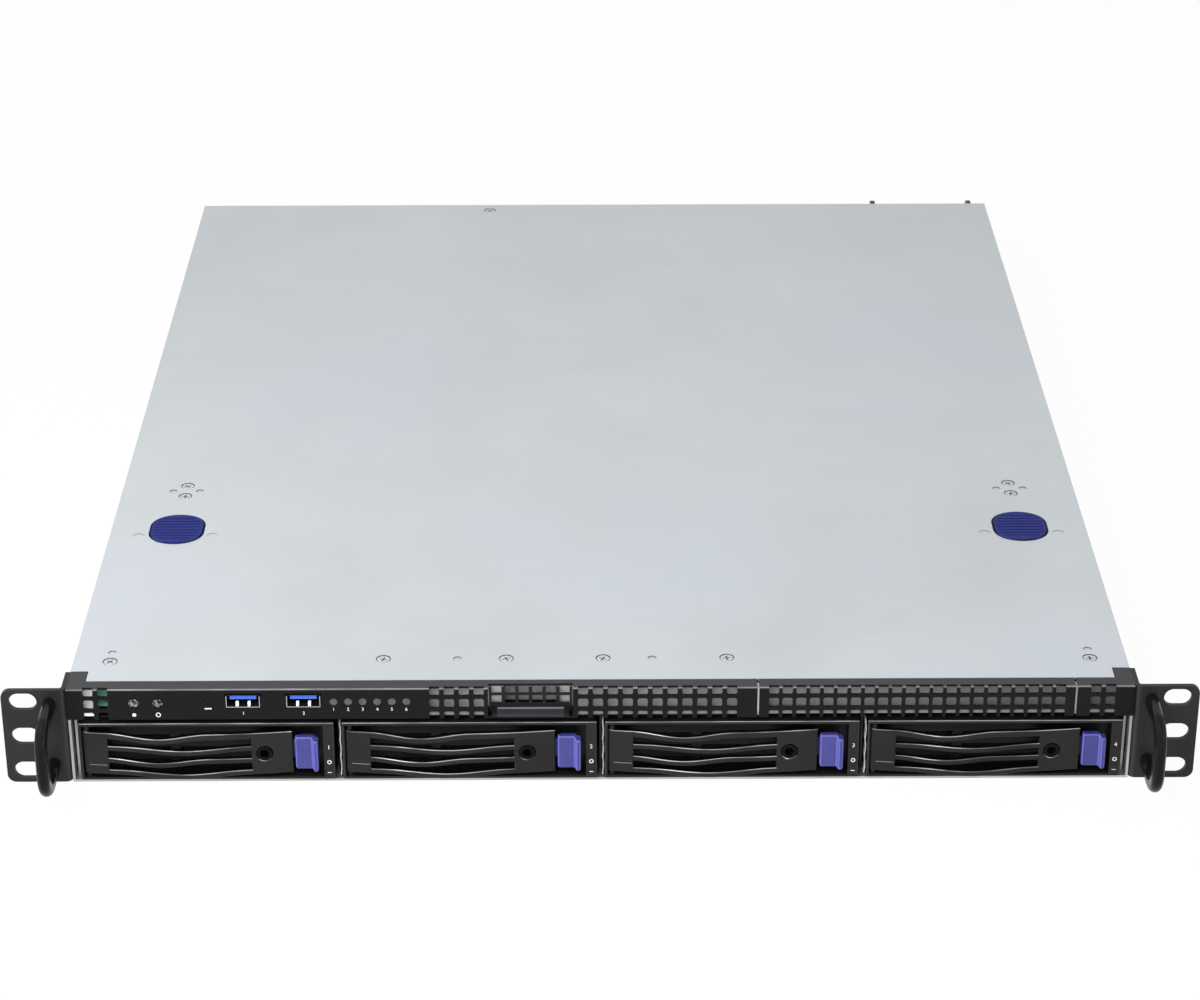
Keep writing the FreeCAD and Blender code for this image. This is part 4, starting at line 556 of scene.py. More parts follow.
finishes = {
    "lid": lidZinc(),
    "zinc": sheetZinc("caseZinc", (0.58, 0.585, 0.58), (0.40, 0.405, 0.40)),
    "cage": cageFinish(),
    "supply": sheetZinc("supplyShell", (0.60, 0.61, 0.62), (0.46, 0.47, 0.48)),
    "panel": panelFinish(),
    "tag": tagFinish(),
    "ear": blackCoat("earPowderCoat", (0.020, 0.020, 0.020), (0.011, 0.011, 0.011), (0.38, 0.48),
                     grainScale=2800, depth=0.00002, edge=0.03, gloss=0.2, paintedHighlightTone=0.05),
    "handle": blackCoat("handleAnodised", (0.006, 0.006, 0.0065), (0.003, 0.003, 0.0035), (0.2, 0.3),
                        grainScale=260, depth=0.00004, edge=0.006, gloss=0.12, paintedHighlightTone=0.006),
    "lever": blackCoat("leverBlack", (0.019, 0.019, 0.0185), (0.012, 0.012, 0.0115), (0.34, 0.44),
                       grainScale=2600, depth=0.000014, edge=0.02, gloss=0.1, paintedHighlightTone=0.8, flat=0.0015),
    "lock": blackCoat("lockBlack", (0.003, 0.003, 0.003), (0.002, 0.002, 0.002), (0.4, 0.5),
                      grainScale=2600, depth=0.00001, edge=0.006, gloss=0.1, paintedHighlightTone=0.01),
    # the latch and oval edge tones are wear and a painted sheen
    "latch": moulded("latchPurple", (0.047, 0.049, 0.205), (0.035, 0.038, 0.168), (0.36, 0.46),
                     edge=(0.105, 0.105, 0.38)),
    "tray": trayFinish(),
    "oval": moulded("ovalDeepBlue", (0.016, 0.024, 0.155), (0.012, 0.018, 0.125), (0.5, 0.6),
                    edge=(0.05, 0.055, 0.26), gloss=0.12),
    # the chrome buttons' blotches of dark and pale are a painted reflection
    "chrome": plated("buttonChromePaintedReflection", (0.52, 0.52, 0.525), (0.02, 0.02, 0.021), (0.1, 0.28),
                     scale=800, low=0.44, high=0.66),
    "lidScrew": screwFinish(),
    "screw": sheetZinc("screwZinc", (0.58, 0.60, 0.61), (0.40, 0.42, 0.43), (0.42, 0.55), metal=0.55),
    "backing": backingFinish(),
    "paleBacking": sheetZinc("paleBackingZinc", (0.90, 0.90, 0.92), (0.74, 0.74, 0.76), (0.45, 0.6),
                             metal=0.1),
    "port": plated("portTin", (0.72, 0.73, 0.74), (0.58, 0.59, 0.6), (0.26, 0.4)),
    "alloy": plated("driveAlloy", (0.66, 0.67, 0.69), (0.52, 0.53, 0.55), (0.4, 0.55)),
    "fin": plated("finAluminium", (0.78, 0.79, 0.8), (0.68, 0.69, 0.7), (0.3, 0.42)),
    "usb": usbFinish(),
    "fan": moulded("fanBlack", (0.022, 0.022, 0.024), (0.012, 0.012, 0.013), (0.38, 0.5)),
    "lens": lensFinish(),
    "print": printFinish(),
    # the lever rib's grey is a painted highlight
    "rib": moulded("ribPaintedHighlight", (0.13, 0.13, 0.13), (0.09, 0.09, 0.09), (0.3, 0.4)),
    # the spring strips' near-white patches are painted glints
    "spring": sheetZinc("springSteelPaintedGlints", (0.95, 0.95, 0.96), (0.22, 0.22, 0.22), (0.26, 0.4), metal=0.15),
    # near-black lips that stand in for the shadow in the gaps round the release buttons
    "gapShade": moulded("gapShadeBlack", (0.008, 0.008, 0.009), (0.004, 0.004, 0.005), (0.5, 0.6), gloss=0.1),
    "contact": sheetZinc("contactPale", (0.86, 0.85, 0.80), (0.70, 0.69, 0.65), (0.3, 0.4), metal=0.2),
    "mainBoard": boardFinish("mainBoardGreen", 0.0077),
    "frontBoard": boardFinish("frontBoardGreen", 0.0353),
    "upright": boardFinish("uprightBoardGreen", 0.5),
}


# names of four alike nodes
def fourOf(name):
    return [name + "_%d" % n for n in range(1, 5)]


wears = {
    "lid": ["top_cover"],
    "zinc": ["chassis_tray", "psu_cage", "io_shield", "slot_cover"],
    "cage": ["drive_cage"],
    "supply": ["psu_module_1", "psu_module_2"],
    "panel": ["front_panel", "optical_filler"],
    "tag": ["service_tag", "reset_button"],
    "ear": ["rack_ear_left", "rack_ear_right"],
    "handle": ["handle_left", "handle_right", "psu_handle_1", "psu_handle_2"],
    "lever": fourOf("tray_lever"),
    "tray": fourOf("drive_tray"),
    "latch": fourOf("tray_latch") + ["psu_latch_1", "psu_latch_2"],
    "oval": ["cover_button_left", "cover_button_right"],
    "chrome": ["power_button", "id_button"],
    "lidScrew": ["cover_screws"],
    "screw": ["ear_screws"],
    "port": ["rear_ports"],
    "alloy": fourOf("hard_drive"),
    "fin": ["cpu_heatsink"],
    "usb": ["usb_ports"],
    "fan": ["fan_frames"] + fourOf("fan_rotor"),
    "lock": fourOf("tray_lock"),
    "lens": ["led_lenses"],
    "mainBoard": ["motherboard"],
    "frontBoard": ["front_board"],
    "upright": ["backplane", "riser_card", "memory_modules"],
}

for finish, names in wears.items():
    for name in names:
        for place in nodes[name].material_slots:
            place.material = finishes[finish]
print("finishes on", sum(len(names) for names in wears.values()), "nodes")


# quads between neighbouring lines of a grid of points
def gridFaces(rows, columns, ringRows=False):
    row, column = np.meshgrid(np.arange(rows if ringRows else rows - 1), np.arange(columns), indexing="ij")
    here, there = row * columns, (row + 1) % rows * columns
    beside = (column + 1) % columns
    return np.stack([here + column, here + beside, there + beside, there + column], -1).reshape(-1, 4)


# closed rings as one skin whose ends draw in to the middles of the first and the last ring
def capped(rings):
    ends = [np.repeat(rings[k].mean(0)[None, None], rings.shape[1], 1) for k in (0, -1)]
    points = np.concatenate([ends[0], rings, ends[1]])
    return points.reshape(-1, 3), gridFaces(len(points), rings.shape[1])


def joined(shapes):
    starts = np.cumsum([0] + [len(points) for points, faces in shapes[:-1]])
    allPoints = np.concatenate([points for points, faces in shapes])
    allFaces = np.concatenate([faces + start for (points, faces), start in zip(shapes, starts)])
    return allPoints, allFaces


meshing = {"weld": 1e-7, "sharpAngle": 50, "faceWeight": 100}


def makePiece(name, shapes, body, finish):
    points, faces = joined(shapes)
    mesh = bpy.data.meshes.new(name)
    mesh.from_pydata(points.tolist(), [], faces.tolist())
    work = bmesh.new()
    work.from_mesh(mesh)
    bmesh.ops.remove_doubles(work, verts=work.verts, dist=meshing["weld"])
    bmesh.ops.recalc_face_normals(work, faces=work.faces)
    work.to_mesh(mesh)
    work.free()
    mesh.shade_smooth()
    mesh.set_sharp_from_angle(angle=math.radians(meshing["sharpAngle"]))
    piece = bpy.data.objects.new(name, mesh)
    intoScene(piece)
    mesh.materials.append(finishes[finish])
    even = piece.modifiers.new("evenNormals", "WEIGHTED_NORMAL")
    even.weight = meshing["faceWeight"]
    even.keep_sharp = True
    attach(piece, body)
    return piece


rayStart = -0.2


# where a line from the front at (x, z) first meets a node
def landOn(node, x, z):
    hit, place = nodes[node].ray_cast(Vector((x, rayStart, z)), Vector((0, 1, 0)))[:2]
    return place[1] if hit else None


# sines and cosines raised to a power: an ellipse at one, a block with softened corners well below one
def softBlock(halfWide, halfTall, power=0.22, count=28):
    turn = np.linspace(0, 2 * np.pi, count, endpoint=False)
    c, s = np.cos(turn), np.sin(turn)
    outline = np.stack([np.sign(c) * np.abs(c) ** power, np.sign(s) * np.abs(s) ** power], -1)
    return outline * (halfWide, halfTall)


# angles along a path and round its section, as two grids
def ringAngles(rounds, sides):
    return np.meshgrid(np.linspace(0, 2 * np.pi, rounds, endpoint=False),
                       np.linspace(0, 2 * np.pi, sides, endpoint=False), indexing="ij")


ink = {"proud": 0.04 * mm, "sunk": 0.02 * mm, "shoulder": 0.7, "flat": 0.9, "plateSides": 32,
       "ringRounds": 28, "ringSides": 8, "figureScale": 1.35, "figureSteps": 3}


# closed plate on a front face: a soft outline drawn in from its rim to the middle, behind and in front
def plate(x, y, z, halfWide, halfTall, power=0.5):
    outline = softBlock(halfWide, halfTall, power, ink["plateSides"])
    sunk, proud = ink["sunk"], ink["proud"]
    share = np.array([0.0, 1.0, 1.0, ink["flat"], 0.0])
    lift = np.array([-sunk, -sunk, ink["shoulder"] * proud, proud, proud])
    points = np.empty((len(share), len(outline), 3))
    points[..., 0] = x + share[:, None] * outline[None, :, 0]
    points[..., 1] = y - lift[:, None]
    points[..., 2] = z + share[:, None] * outline[None, :, 1]
    return points.reshape(-1, 3), gridFaces(len(share), len(outline))


# ring on a front face: an ellipse section, width by height, carried round a circle
def ringMark(x, y, z, radius, width):
    turn, around = ringAngles(ink["ringRounds"], ink["ringSides"])
    reach = radius + width / 2 * np.cos(around)
    points = np.stack([x + reach * np.cos(turn), y - ink["proud"] * np.sin(around),
                       z + reach * np.sin(turn)], -1)
    return points.reshape(-1, 3), gridFaces(*turn.shape, ringRows=True)


# a section carried along a path: across and up are its two directions
def sweep(path, across, up, section):
    return capped(path[:, None] + section[None, :, :1] * across + section[None, :, 1:] * up)


# one figure as a thin closed mesh, its width centred on x, standing on the front face
def figure(text, x, y, z, tall):
    curve = bpy.data.curves.new("figure", "FONT")
    curve.body = text
    curve.align_x, curve.align_y = "CENTER", "CENTER"
    curve.size = tall * ink["figureScale"]
    curve.extrude = ink["proud"]
    curve.resolution_u = ink["figureSteps"]
    holder = bpy.data.objects.new("figure", curve)
    flat = bpy.data.meshes.new_from_object(holder)
    flat.calc_loop_triangles()
    raw = np.empty(len(flat.vertices) * 3)
    flat.vertices.foreach_get("co", raw)
    corners = np.empty(len(flat.loop_triangles) * 3, dtype=np.int64)
    flat.loop_triangles.foreach_get("vertices", corners)
    raw = raw.reshape(-1, 3)
    points = np.stack([x + raw[:, 0], y - raw[:, 2], z + raw[:, 1]], -1)
    bpy.data.objects.remove(holder)
    bpy.data.curves.remove(curve)
    bpy.data.meshes.remove(flat)
    return points, corners.reshape(-1, 3)


# closed turned shape: a profile of reach and height carried round the axis that leaves a point
def turned(point, along, side, profile, count=32, ring=False):
    turn = np.linspace(0, 2 * np.pi, count, endpoint=False)
    other = np.cross(along, side)
    spoke = np.cos(turn)[:, None] * side + np.sin(turn)[:, None] * other
    points = point + profile[:, None, :1] * spoke[None] + profile[:, None, 1:] * along
    return points.reshape(-1, 3), gridFaces(len(profile), count, ringRows=ring)


roundSteps = 5


# insets and depths of a bar's rounded corners, from the middle of its front over the top and back below
def barSection(frontRound, backRound, gauge):
    arc = np.linspace(0, np.pi / 2, roundSteps)
    front = np.stack([frontRound * (1 - np.sin(arc)), frontRound * (1 - np.cos(arc))], -1)
    back = np.stack([backRound * (1 - np.cos(arc)), gauge - backRound * (1 - np.sin(arc))], -1)
    half = np.concatenate([front, back])
    inset = np.concatenate([half[:, 0], half[::-1, 0]])
    depth = np.concatenate([half[:, 1], half[::-1, 1]])
    upper = np.arange(len(inset)) < len(half)
    return inset, depth, upper


bays = {"numbers": range(1, 5), "middle": 2.5, "pitch": 106.4, "trayWide": 103.0}


# left edge of tray n's bezel, in millimetres
def trayLeft(n):
    return (n - bays["middle"]) * bays["pitch"] - bays["trayWide"] / 2


lever = {"start": 1.2, "long": 85.0, "gauge": 2.4, "bow": 2.6, "front": -1.6,
         "gillStart": 10.2, "gillLong": 58.2, "lap": 0.8, "frontRound": 0.55, "backRound": 0.25,
         "earlyPlace": 30.3, "earlyHalf": 21.0, "latePlace": 41.0, "lateHalf": 26.0,
         "edges": [(23.5, "early", 2.3), (20.75, "early", 1.9), (17.45, "late", 1.65), (15.25, "late", 1.65),
                   (11.95, "early", 1.9), (9.75, "early", 1.9), (6.45, "late", 1.65), (4.2, "late", 1.65)],
         "barrel": 1.7, "pin": 1.0, "pinLow": 1.9, "pinHigh": 27.0, "barrelSoft": 0.3,
         "lockPlace": 73.6, "lockLevel": 13.8, "bore": 3.3, "sink": 3.75, "sinkDepth": 0.5,
         "boss": 4.9, "bossBack": 2.6, "bossLap": 0.4,
         "gillSteps": 61, "hingeSteps": 9, "endSides": 56}


# a level edge with one dip, half a cosine wave down and up again
def waveEdge(x, level, kind, dip):
    t = np.clip((x - lever[kind + "Place"]) / lever[kind + "Half"], -1, 1)
    return level - dip * (1 + np.cos(np.pi * t)) / 2


# how far forward the bowed front lies at x: an arc through the hinge, the crown and the far end
def bowFront(x):
    near, far, middle = lever["barrel"], lever["long"], lever["long"] / 2
    chord = (far - near) / 2
    radius = (chord ** 2 + lever["bow"] ** 2) / (2 * lever["bow"])
    lift = np.sqrt(np.maximum(radius ** 2 - (x - middle) ** 2, 0)) - (radius - lever["bow"])
    return lever["front"] - np.maximum(lift, 0)


# one bar between two wavy edges: the rounded section at each x follows both edges and the bow
def leverBar(upperEdge, lowerEdge, start, end, count):
    x = np.linspace(start, end, count)
    top, bottom = waveEdge(x, *upperEdge), waveEdge(x, *lowerEdge)
    inset, depth, upper = barSection(lever["frontRound"], lever["backRound"], lever["gauge"])
    z = np.where(upper, top[:, None] - inset, bottom[:, None] + inset)
    y = bowFront(x)[:, None] + depth
    return capped(np.stack([np.broadcast_to(x[:, None], z.shape), y, z], -1))


# the right end: rings that grow from the lock's bore to the plate's rectangle, over its rim and back
def leverEnd():
    x0, z0 = lever["lockPlace"], lever["lockLevel"]
    sides = np.array([lever["long"] - x0, lever["edges"][0][0] - z0,
                      x0 - lever["gillStart"] - lever["gillLong"], z0 - lever["edges"][-1][0]])
    corners = np.arctan2(sides[[1, 1, 3, 3]] * (1, 1, -1, -1), sides[[0, 2, 2, 0]] * (1, -1, -1, 1))
    turn = np.sort(np.concatenate([np.linspace(-np.pi, np.pi, lever["endSides"], endpoint=False), corners]))
    c, s = np.cos(turn), np.sin(turn)
    arc = np.linspace(0, np.pi / 2, roundSteps)
    inset = np.concatenate([lever["frontRound"] * (1 - np.sin(arc)), [0.0]])
    depth = np.concatenate([lever["frontRound"] * (1 - np.cos(arc)), [lever["gauge"]]])
    box = sides[None] - inset[:, None]
    reachX = np.where(c > 0, box[:, :1], box[:, 2:3]) / np.maximum(np.abs(c), 1e-9)
    reachZ = np.where(s > 0, box[:, 1:2], box[:, 3:]) / np.maximum(np.abs(s), 1e-9)
    outer = np.minimum(reachX, reachZ)
    inner = np.array([lever["bore"], lever["bore"], lever["sink"]])[:, None] * np.ones_like(turn)
    reach = np.concatenate([inner, outer])
    deep = np.concatenate([[lever["gauge"], lever["sinkDepth"], 0.0], depth])[:, None] * np.ones_like(turn)
    x = x0 + reach * c
    points = np.stack([x, bowFront(x) + deep, z0 + reach * s], -1)
    return points.reshape(-1, 3), gridFaces(*reach.shape, ringRows=True)


def addLevers():
    k, edges = lever, lever["edges"]
    begin, finish = k["gillStart"] - k["lap"], k["gillStart"] + k["gillLong"] + k["lap"]
    pairs = zip(edges[::2], edges[1::2])
    shapes = [leverBar(above, below, begin, finish, k["gillSteps"]) for above, below in pairs]
    shapes += [leverBar(edges[0], edges[-1], k["barrel"], k["gillStart"], k["hingeSteps"]), leverEnd()]
    low, high, soft = edges[-1][0], edges[0][0], k["barrelSoft"]
    hinge = np.array((k["barrel"], k["front"] + k["barrel"], 0.0))
    for reach, bottom, top in ((k["barrel"], low, high), (k["pin"], k["pinLow"], k["pinHigh"])):
        profile = np.array([(0, bottom), (reach - soft, bottom), (reach, bottom + soft),
                            (reach, top - soft), (reach - soft, top), (0, top)])
        shapes.append(turned(hinge, upward, rightward, profile))
    near, far = k["bossLap"], k["bossBack"] - k["front"] - k["bossLap"]
    profile = np.array([(k["bore"], near), (k["boss"], near), (k["boss"], far), (k["bore"], far)])
    lock = np.array((k["lockPlace"], k["front"], k["lockLevel"]))
    shapes.append(turned(lock, backward, rightward, profile, ring=True))
    for n in bays["numbers"]:
        shift = (trayLeft(n) + k["start"]) * rightward
        placed = [((points + shift) * mm, faces) for points, faces in shapes]
        piece = makePiece("leverShell_%d" % n, placed, "lever_%d" % n, "lever")
        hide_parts("tray_lever_%d" % n)


addLevers()

latch = {"start": 87.2, "wide": 9.43, "low": 6.4, "high": 21.1, "front": -2.4, "back": 0.4,
         "ridge": 2.2, "proud": 2.0, "drop": 0.4, "slope": 0.5, "soft": 0.9, "blend": 1.3,
         "frontShare": 0.8, "backRound": 0.25, "stemMargin": 1.2, "stemLow": 9.8, "stemHigh": 17.8,
         "stemEnd": 6.8, "stemLap": 0.1, "cornerSteps": 6, "faceSteps": 31,
         "tongueOut": -2.2, "tongueNear": 1.4, "tongueFar": 4.0, "tongueLap": 0.4}


# a thumb paddle: a rounded section carried across, its front swept by a smooth step into the right ridge
def latchPaddle():
    k = latch
    arc = np.linspace(np.pi / 2, 0, k["cornerSteps"])
    edge, tuck = k["soft"] * (1 - np.sin(arc)), k["soft"] * (1 - np.cos(arc))
    between = np.linspace(k["soft"], k["wide"] - k["soft"], k["faceSteps"])[1:-1]
    x = np.concatenate([edge, between, k["wide"] - edge[::-1]])
    push = np.concatenate([tuck, np.zeros_like(between), tuck[::-1]])
    t = np.clip((x - k["wide"] + k["ridge"] + k["blend"] / 2) / k["blend"], 0, 1)
    share = t * t * (3 - 2 * t)
    front = k["front"] - k["proud"] * share + push
    top = k["high"] - (k["drop"] + k["slope"]) * share - push
    bottom = k["low"] - k["drop"] * share + push
    gauge = k["back"] - k["front"]
    inset, depth, upper = barSection(k["frontShare"] * k["soft"], k["backRound"], gauge)
    z = np.where(upper, top[:, None] - inset, bottom[:, None] + inset)
    y = np.where(depth < gauge / 2, front[:, None] + depth, k["back"] - gauge + depth)
    return capped(np.stack([np.broadcast_to(x[:, None], z.shape), y, z], -1))


def addLatches():
    k = latch
    level, half = (k["stemLow"] + k["stemHigh"]) / 2, (k["stemHigh"] - k["stemLow"]) / 2
    stemPath = np.array([(k["wide"] / 2, y, level) for y in (k["back"] - k["stemLap"], k["stemEnd"])])
    depth, thick = (k["tongueNear"] + k["tongueFar"]) / 2, (k["tongueFar"] - k["tongueNear"]) / 2
    tonguePath = np.array([(x, depth, level) for x in (k["tongueOut"], k["stemMargin"] + k["tongueLap"])])
    shapes = [latchPaddle(),
              sweep(stemPath, rightward, upward, softBlock(k["wide"] / 2 - k["stemMargin"], half)),
              sweep(tonguePath, backward, upward, softBlock(thick, half))]
    for n in bays["numbers"]:
        shift = (trayLeft(n) + k["start"]) * rightward
        placed = [((points + shift) * mm, faces) for points, faces in shapes]
        piece = makePiece("latchShell_%d" % n, placed, "latch_%d" % n, "latch")
        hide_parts("tray_latch_%d" % n)


addLatches()
print("levers and latches shaped")

ventSheets = {"gauge": 0.5, "overSlide": 32.3, "high": 42.1,
              "profile": [(3.25, 42.1), (3.25, 32.2), (-0.6, 31.8), (-0.6, 30.7)],
              "standing": [(-69.6, -45.8), (-11.0, 62.8), (65.2, 189.8), (192.3, 209.2)],
              "pale": (-209.2, -203.7),
              "card": (-203.2, -197.4), "cardProfile": [(3.4, 42.1), (3.4, 35.3)],
              "housing": [(-45.8, 3.25), (-39.4, 3.25), (-39.4, 8.5),
                          (-17.2, 8.5), (-17.2, 3.25), (-11.0, 3.25)],
              "bareEdge": {"lefts": (63.1, 191.2), "wide": 0.7, "near": -1.85, "far": 2.4,
                           "low": 30.65, "high": 43.2}}


# the two sides of a sheet whose middle follows a bent line, mitred at its corners
def mitred(line):
    step = np.diff(line, axis=0)
    step /= np.linalg.norm(step, axis=1)[:, None]
    before, after = np.vstack([step[:1], step]), np.vstack([step, step[-1:]])
    across = np.stack([-(before + after)[:, 1], (before + after)[:, 0]], -1)
    across *= ventSheets["gauge"] / 2 / (1 + (before * after).sum(1))[:, None]
    return line - across, line + across


# a bent section, depth and height, carried across from left to right
def ventSheet(left, right, profile):
    front, back = mitred(np.array(profile))
    lines = [(left, front), (right, front), (right, back), (left, back)]
    return capped(np.stack([np.column_stack([np.full(len(line), x), line]) for x, line in lines], 1) * mm)


# a strip that stands on edge and follows a bent line in plan
def slideHousing():
    v = ventSheets
    near, far = mitred(np.array(v["housing"]))
    lines = [(near, v["overSlide"]), (far, v["overSlide"]), (far, v["high"]), (near, v["high"])]
    return capped(np.stack([np.column_stack([plan, np.full(len(plan), z)]) for plan, z in lines], 1) * mm)


# an upright edge of bare sheet: its four corners in plan, carried from its foot to its top
def bareEdge(left):
    e = ventSheets["bareEdge"]
    right = left + e["wide"]
    plan = np.array([(left, e["near"]), (right, e["near"]), (right, e["far"]), (left, e["far"])])
    return capped(np.stack([np.column_stack([plan, np.full(4, z)]) for z in (e["low"], e["high"])]) * mm)


def addVentSheets():
    v = ventSheets
    plain = [ventSheet(*span, v["profile"]) for span in v["standing"]]
    plain += [slideHousing()] + [bareEdge(left) for left in v["bareEdge"]["lefts"]]
    makePiece("ventSheets", plain, "case", "backing")
    pale = [ventSheet(*v["pale"], v["profile"])]
    makePiece("ventSheetPale", pale, "case", "paleBacking")
    makePiece("boardCard", [ventSheet(*v["card"], v["cardProfile"])], "case", "upright")


addVentSheets()

lidScrews = {"reach": 2.62, "top": 43.34, "seat": 42.8, "crown": 0.05, "flat": 0.94, "rim": 0.985,
             "rimDrop": 0.05, "edgeDrop": 0.14, "slotHalf": 0.34, "slotReach": 1.75, "slotDepth": 0.42,
             "slotWall": 0.12, "slotEnd": 0.2, "twist": 0.7, "rings": 20, "sides": 72,
             "pairs": [(-186.0, 173.5), (-186.0, 184.0), (186.0, 173.5), (186.0, 184.0)],
             "row": [(-88.6, 22.8), (-38.4, 22.8), (1.1, 22.8), (51.7, 22.8)],
             "ends": [(-200.0, 21.5), (200.0, 21.5), (-57.6, 527.0)]}


# a low crowned head: height falls with the square of the reach, less a cross of two smooth troughs
def screwHead(x, y, twist):
    k = lidScrews
    reach = np.concatenate([np.linspace(0, k["flat"], k["rings"]), [k["rim"], 1.0, 1.0, 0.0]]) * k["reach"]
    turn = np.linspace(0, 2 * np.pi, k["sides"], endpoint=False)
    r, t = np.meshgrid(reach, turn, indexing="ij")
    u, w = np.abs(r * np.cos(t - twist)), np.abs(r * np.sin(t - twist))
    arms = [np.clip((k["slotHalf"] - a) / k["slotWall"] + 0.5, 0, 1)
            * np.clip((k["slotReach"] - b) / k["slotEnd"], 0, 1) for a, b in ((u, w), (w, u))]
    z = k["top"] - k["crown"] * (r / k["reach"]) ** 2 - k["slotDepth"] * np.maximum(*arms)
    z[-4] -= k["rimDrop"]
    z[-3] -= k["edgeDrop"]
    z[-2:] = k["seat"]
    points = np.stack([x + r * np.cos(t), y + r * np.sin(t), z], -1)
    return points.reshape(-1, 3) * mm, gridFaces(len(reach), len(turn))


def addLidScrews():
    places = lidScrews["pairs"] + lidScrews["row"] + lidScrews["ends"]
    heads = [screwHead(x, y, lidScrews["twist"] * number) for number, (x, y) in enumerate(places)]
    piece = makePiece("lidScrewHeads", heads, "cover", "lidScrew")
    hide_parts("cover_screws")


addLidScrews()

shadeLips = {"place": 186.0, "setback": 140.5, "spread": 1.3, "reach": 3.4, "corner": 10.0,
         "offset": 0.55, "half": 0.38, "level": 43.41, "proud": 0.08, "rounds": 96, "sides": 8}


# a thin black lip round a release button, standing in for the shadow in the gap round it: an ellipse section
# along two flats, two broad arcs and four corners
def sealRing(side):
    k = shadeLips
    turn, around = ringAngles(k["rounds"], k["sides"])
    c, s = np.cos(turn), np.sin(turn)
    lift = math.sqrt(k["reach"] ** 2 - k["spread"] ** 2)
    onArc = np.abs(c) * lift < np.abs(s) * k["spread"]
    middleX = np.where(onArc, k["reach"] * c, np.sign(c) * k["spread"])
    middleY = np.where(onArc, k["reach"] * s, np.sign(s) * lift)
    reach = k["corner"] + k["offset"] + k["half"] * np.cos(around)
    points = np.stack([side * k["place"] + middleX + reach * c, k["setback"] + middleY + reach * s,
                       k["level"] + k["proud"] * np.sin(around)], -1)
    return points.reshape(-1, 3) * mm, gridFaces(*turn.shape, ringRows=True)


# painted shade: dark lips laid where the gap round each button is in shadow
makePiece("releaseGapShades", [sealRing(-1), sealRing(1)], "cover", "gapShade")
print("vent sheets, lid screws and seals made")

frontSockets = {"count": 2, "first": -144.0, "pitch": 24.3}


# middle of front socket n, in millimetres
def socketPlace(n):
    return frontSockets["first"] + n * frontSockets["pitch"]


panelMarks = {"lampFirst": -107.6, "lampPitch": 5.86, "figureLevel": 34.0, "figureTall": 1.5,
              "socketLevel": 32.3, "front": -2.0, "buttonLevel": 31.8,
              "ringPlace": -178.3, "ringReach": 0.85, "ringWide": 0.4, "dotPlace": -188.0, "dotHalf": 0.8,
              "barPlace": -158.1, "barLevel": 34.6, "barLong": 1.5, "barTall": 0.28}
lampCount = 6


# plain figures under the lamps and sockets, a ring, a dot and a bar under the buttons
def addPanelMarks():
    m = {key: number * mm for key, number in panelMarks.items()}
    front, level, tall = m["front"], m["buttonLevel"], m["figureTall"]
    figures = [figure(str(n + 1), m["lampFirst"] + n * m["lampPitch"], front, m["figureLevel"], tall)
               for n in range(lampCount)]
    figures += [figure(str(n + 1), socketPlace(n) * mm, front, m["socketLevel"], tall)
                for n in range(frontSockets["count"])]
    makePiece("panelFigures", figures, "case", "print")
    marks = [ringMark(m["ringPlace"], front, level, m["ringReach"], m["ringWide"]),
             plate(m["dotPlace"], front, level, m["dotHalf"], m["dotHalf"], power=1.0),
             plate(m["barPlace"], front, m["barLevel"], m["barLong"], m["barTall"])]
    makePiece("panelMarks", marks, "case", "print")


addPanelMarks()

trayMarks = {"figureTall": 1.9, "figureLevel": 16.2, "ringLevel": 9.3, "ringReach": 0.75, "ringWide": 0.4,
             "barLevel": 4.4, "barLong": 0.9, "barTall": 0.16, "inset": 2.15,
             "lineStart": 2.4, "lineLength": 7.2, "lineLevel": 8.6, "lineHalf": 0.2, "lineProud": 0.12}
lineGrid = {"steps": 9, "sides": 8}


# a fine rib at the left end of a lever: an ellipse section along its bowed front; its grey is a painted
# highlight
def leverRib(n):
    k = trayMarks
    spots = k["lineStart"] + k["lineLength"] * np.linspace(0, 1, lineGrid["steps"])
    level = np.full_like(spots, k["lineLevel"])
    path = np.stack([trayLeft(n) + lever["start"] + spots, bowFront(spots), level], -1)
    section = softBlock(k["lineHalf"], k["lineProud"], 1.0, lineGrid["sides"])
    return sweep(path * mm, upward, -backward, section * mm)


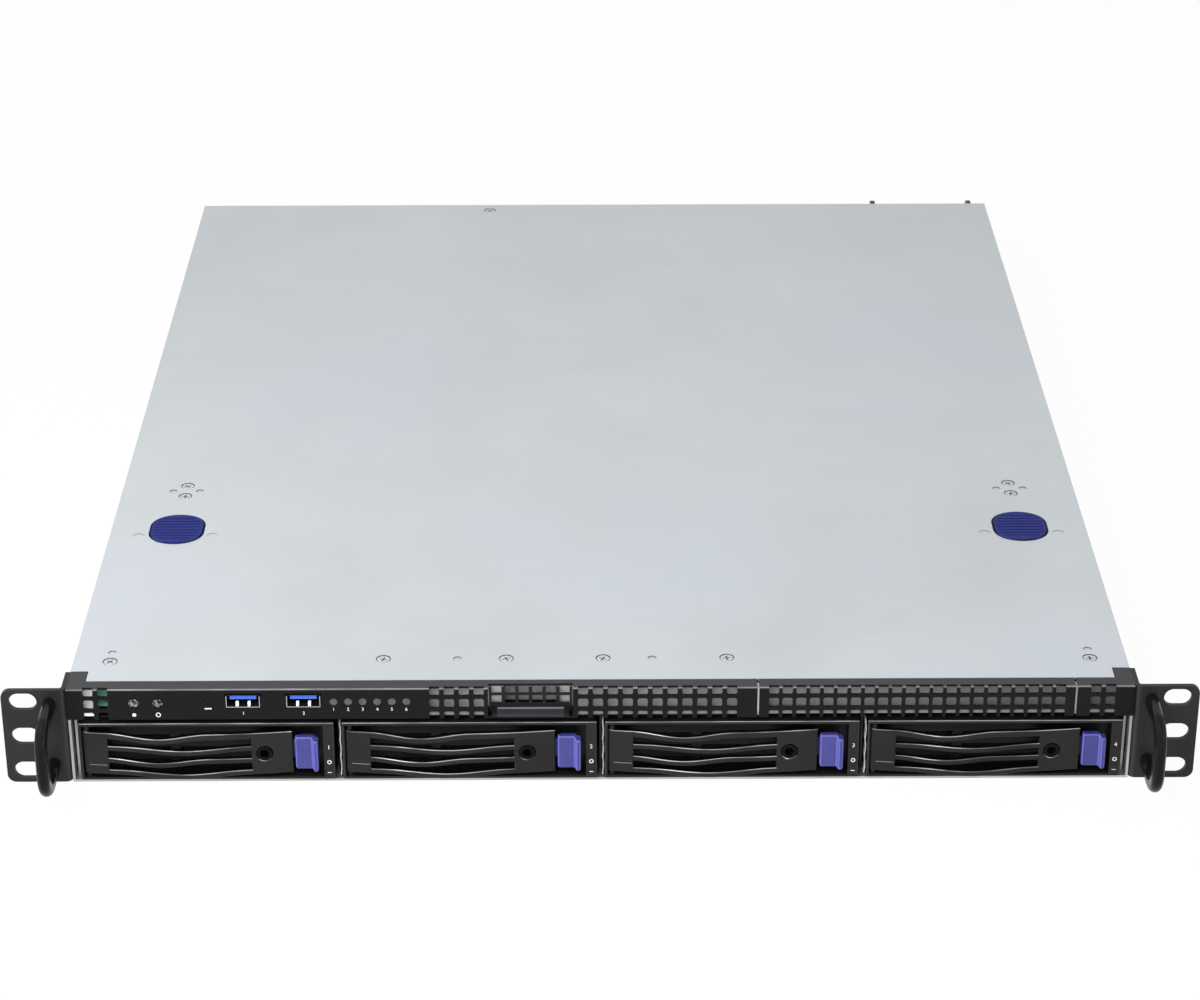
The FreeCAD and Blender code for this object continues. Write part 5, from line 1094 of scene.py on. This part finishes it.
# a figure, a ring and a bar on each bezel's right strip
def addTrayMarks():
    m = {key: number * mm for key, number in trayMarks.items()}
    for n in bays["numbers"]:
        x = (trayLeft(n) + bays["trayWide"] - trayMarks["inset"]) * mm
        y = landOn("drive_tray_%d" % n, x, m["figureLevel"])
        shapes = [ringMark(x, y, m["ringLevel"], m["ringReach"], m["ringWide"]),
                  plate(x, y, m["barLevel"], m["barLong"], m["barTall"])]
        makePiece("trayMark_%d" % n, shapes, "tray_%d" % n, "print")
        makePiece("trayFigure_%d" % n, [figure(str(n), x, y, m["figureLevel"], m["figureTall"])],
                  "tray_%d" % n, "print")
        makePiece("leverRib_%d" % n, [leverRib(n)], "lever_%d" % n, "rib")


addTrayMarks()

gapSprings = {"divider": 1.0, "front": -1.5, "back": 4.0, "low": 3.0, "high": 27.0, "gauge": 0.6,
              "bow": 0.3, "humps": 3, "corner": 0.5, "steps": 41, "sides": 12}


# sprung strips on the dividers: a thin leaf whose bow is a row of low humps along its height; its near-white
# patches are painted glints
def addGapSprings():
    g = gapSprings
    rise = np.linspace(0, 1, g["steps"])
    bow = g["bow"] * np.abs(np.sin(g["humps"] * np.pi * rise))
    z = g["low"] + (g["high"] - g["low"]) * rise
    y = np.full_like(z, (g["front"] + g["back"]) / 2)
    section = softBlock(g["gauge"] / 2, (g["back"] - g["front"]) / 2, g["corner"], g["sides"])
    for n in (-1, 0, 1):
        x = n * bays["pitch"] + g["divider"] / 2 + g["gauge"] / 2 + bow
        leaf = sweep(np.stack([x, y, z], -1) * mm, rightward, backward, section * mm)
        makePiece("gapSpring_%d" % (n + 2), [leaf], "case", "spring")


addGapSprings()

socketSprings = {"apart": 2.4, "floor": 35.65, "rise": 1.5, "front": -1.9, "back": 1.4,
                 "wide": 1.2, "gauge": 0.25, "steps": 17, "sides": 10}


# two contact leaves on the floor of each socket: the square of a half wave from front to back
def addSocketSprings():
    k = socketSprings
    along = np.linspace(0, 1, k["steps"])
    y = k["front"] + (k["back"] - k["front"]) * along
    z = k["floor"] + k["rise"] * np.sin(np.pi * along) ** 2
    section = softBlock(k["wide"] / 2, k["gauge"] / 2, 1.0, k["sides"])
    places = [socketPlace(n) + side * k["apart"] for n in range(frontSockets["count"]) for side in (-1, 1)]
    paths = [np.stack([np.full_like(y, x), y, z], -1) for x in places]
    leaves = [sweep(path * mm, rightward, upward, section * mm) for path in paths]
    makePiece("socketSprings", leaves, "case", "contact")


addSocketSprings()
print("marks and springs placed")
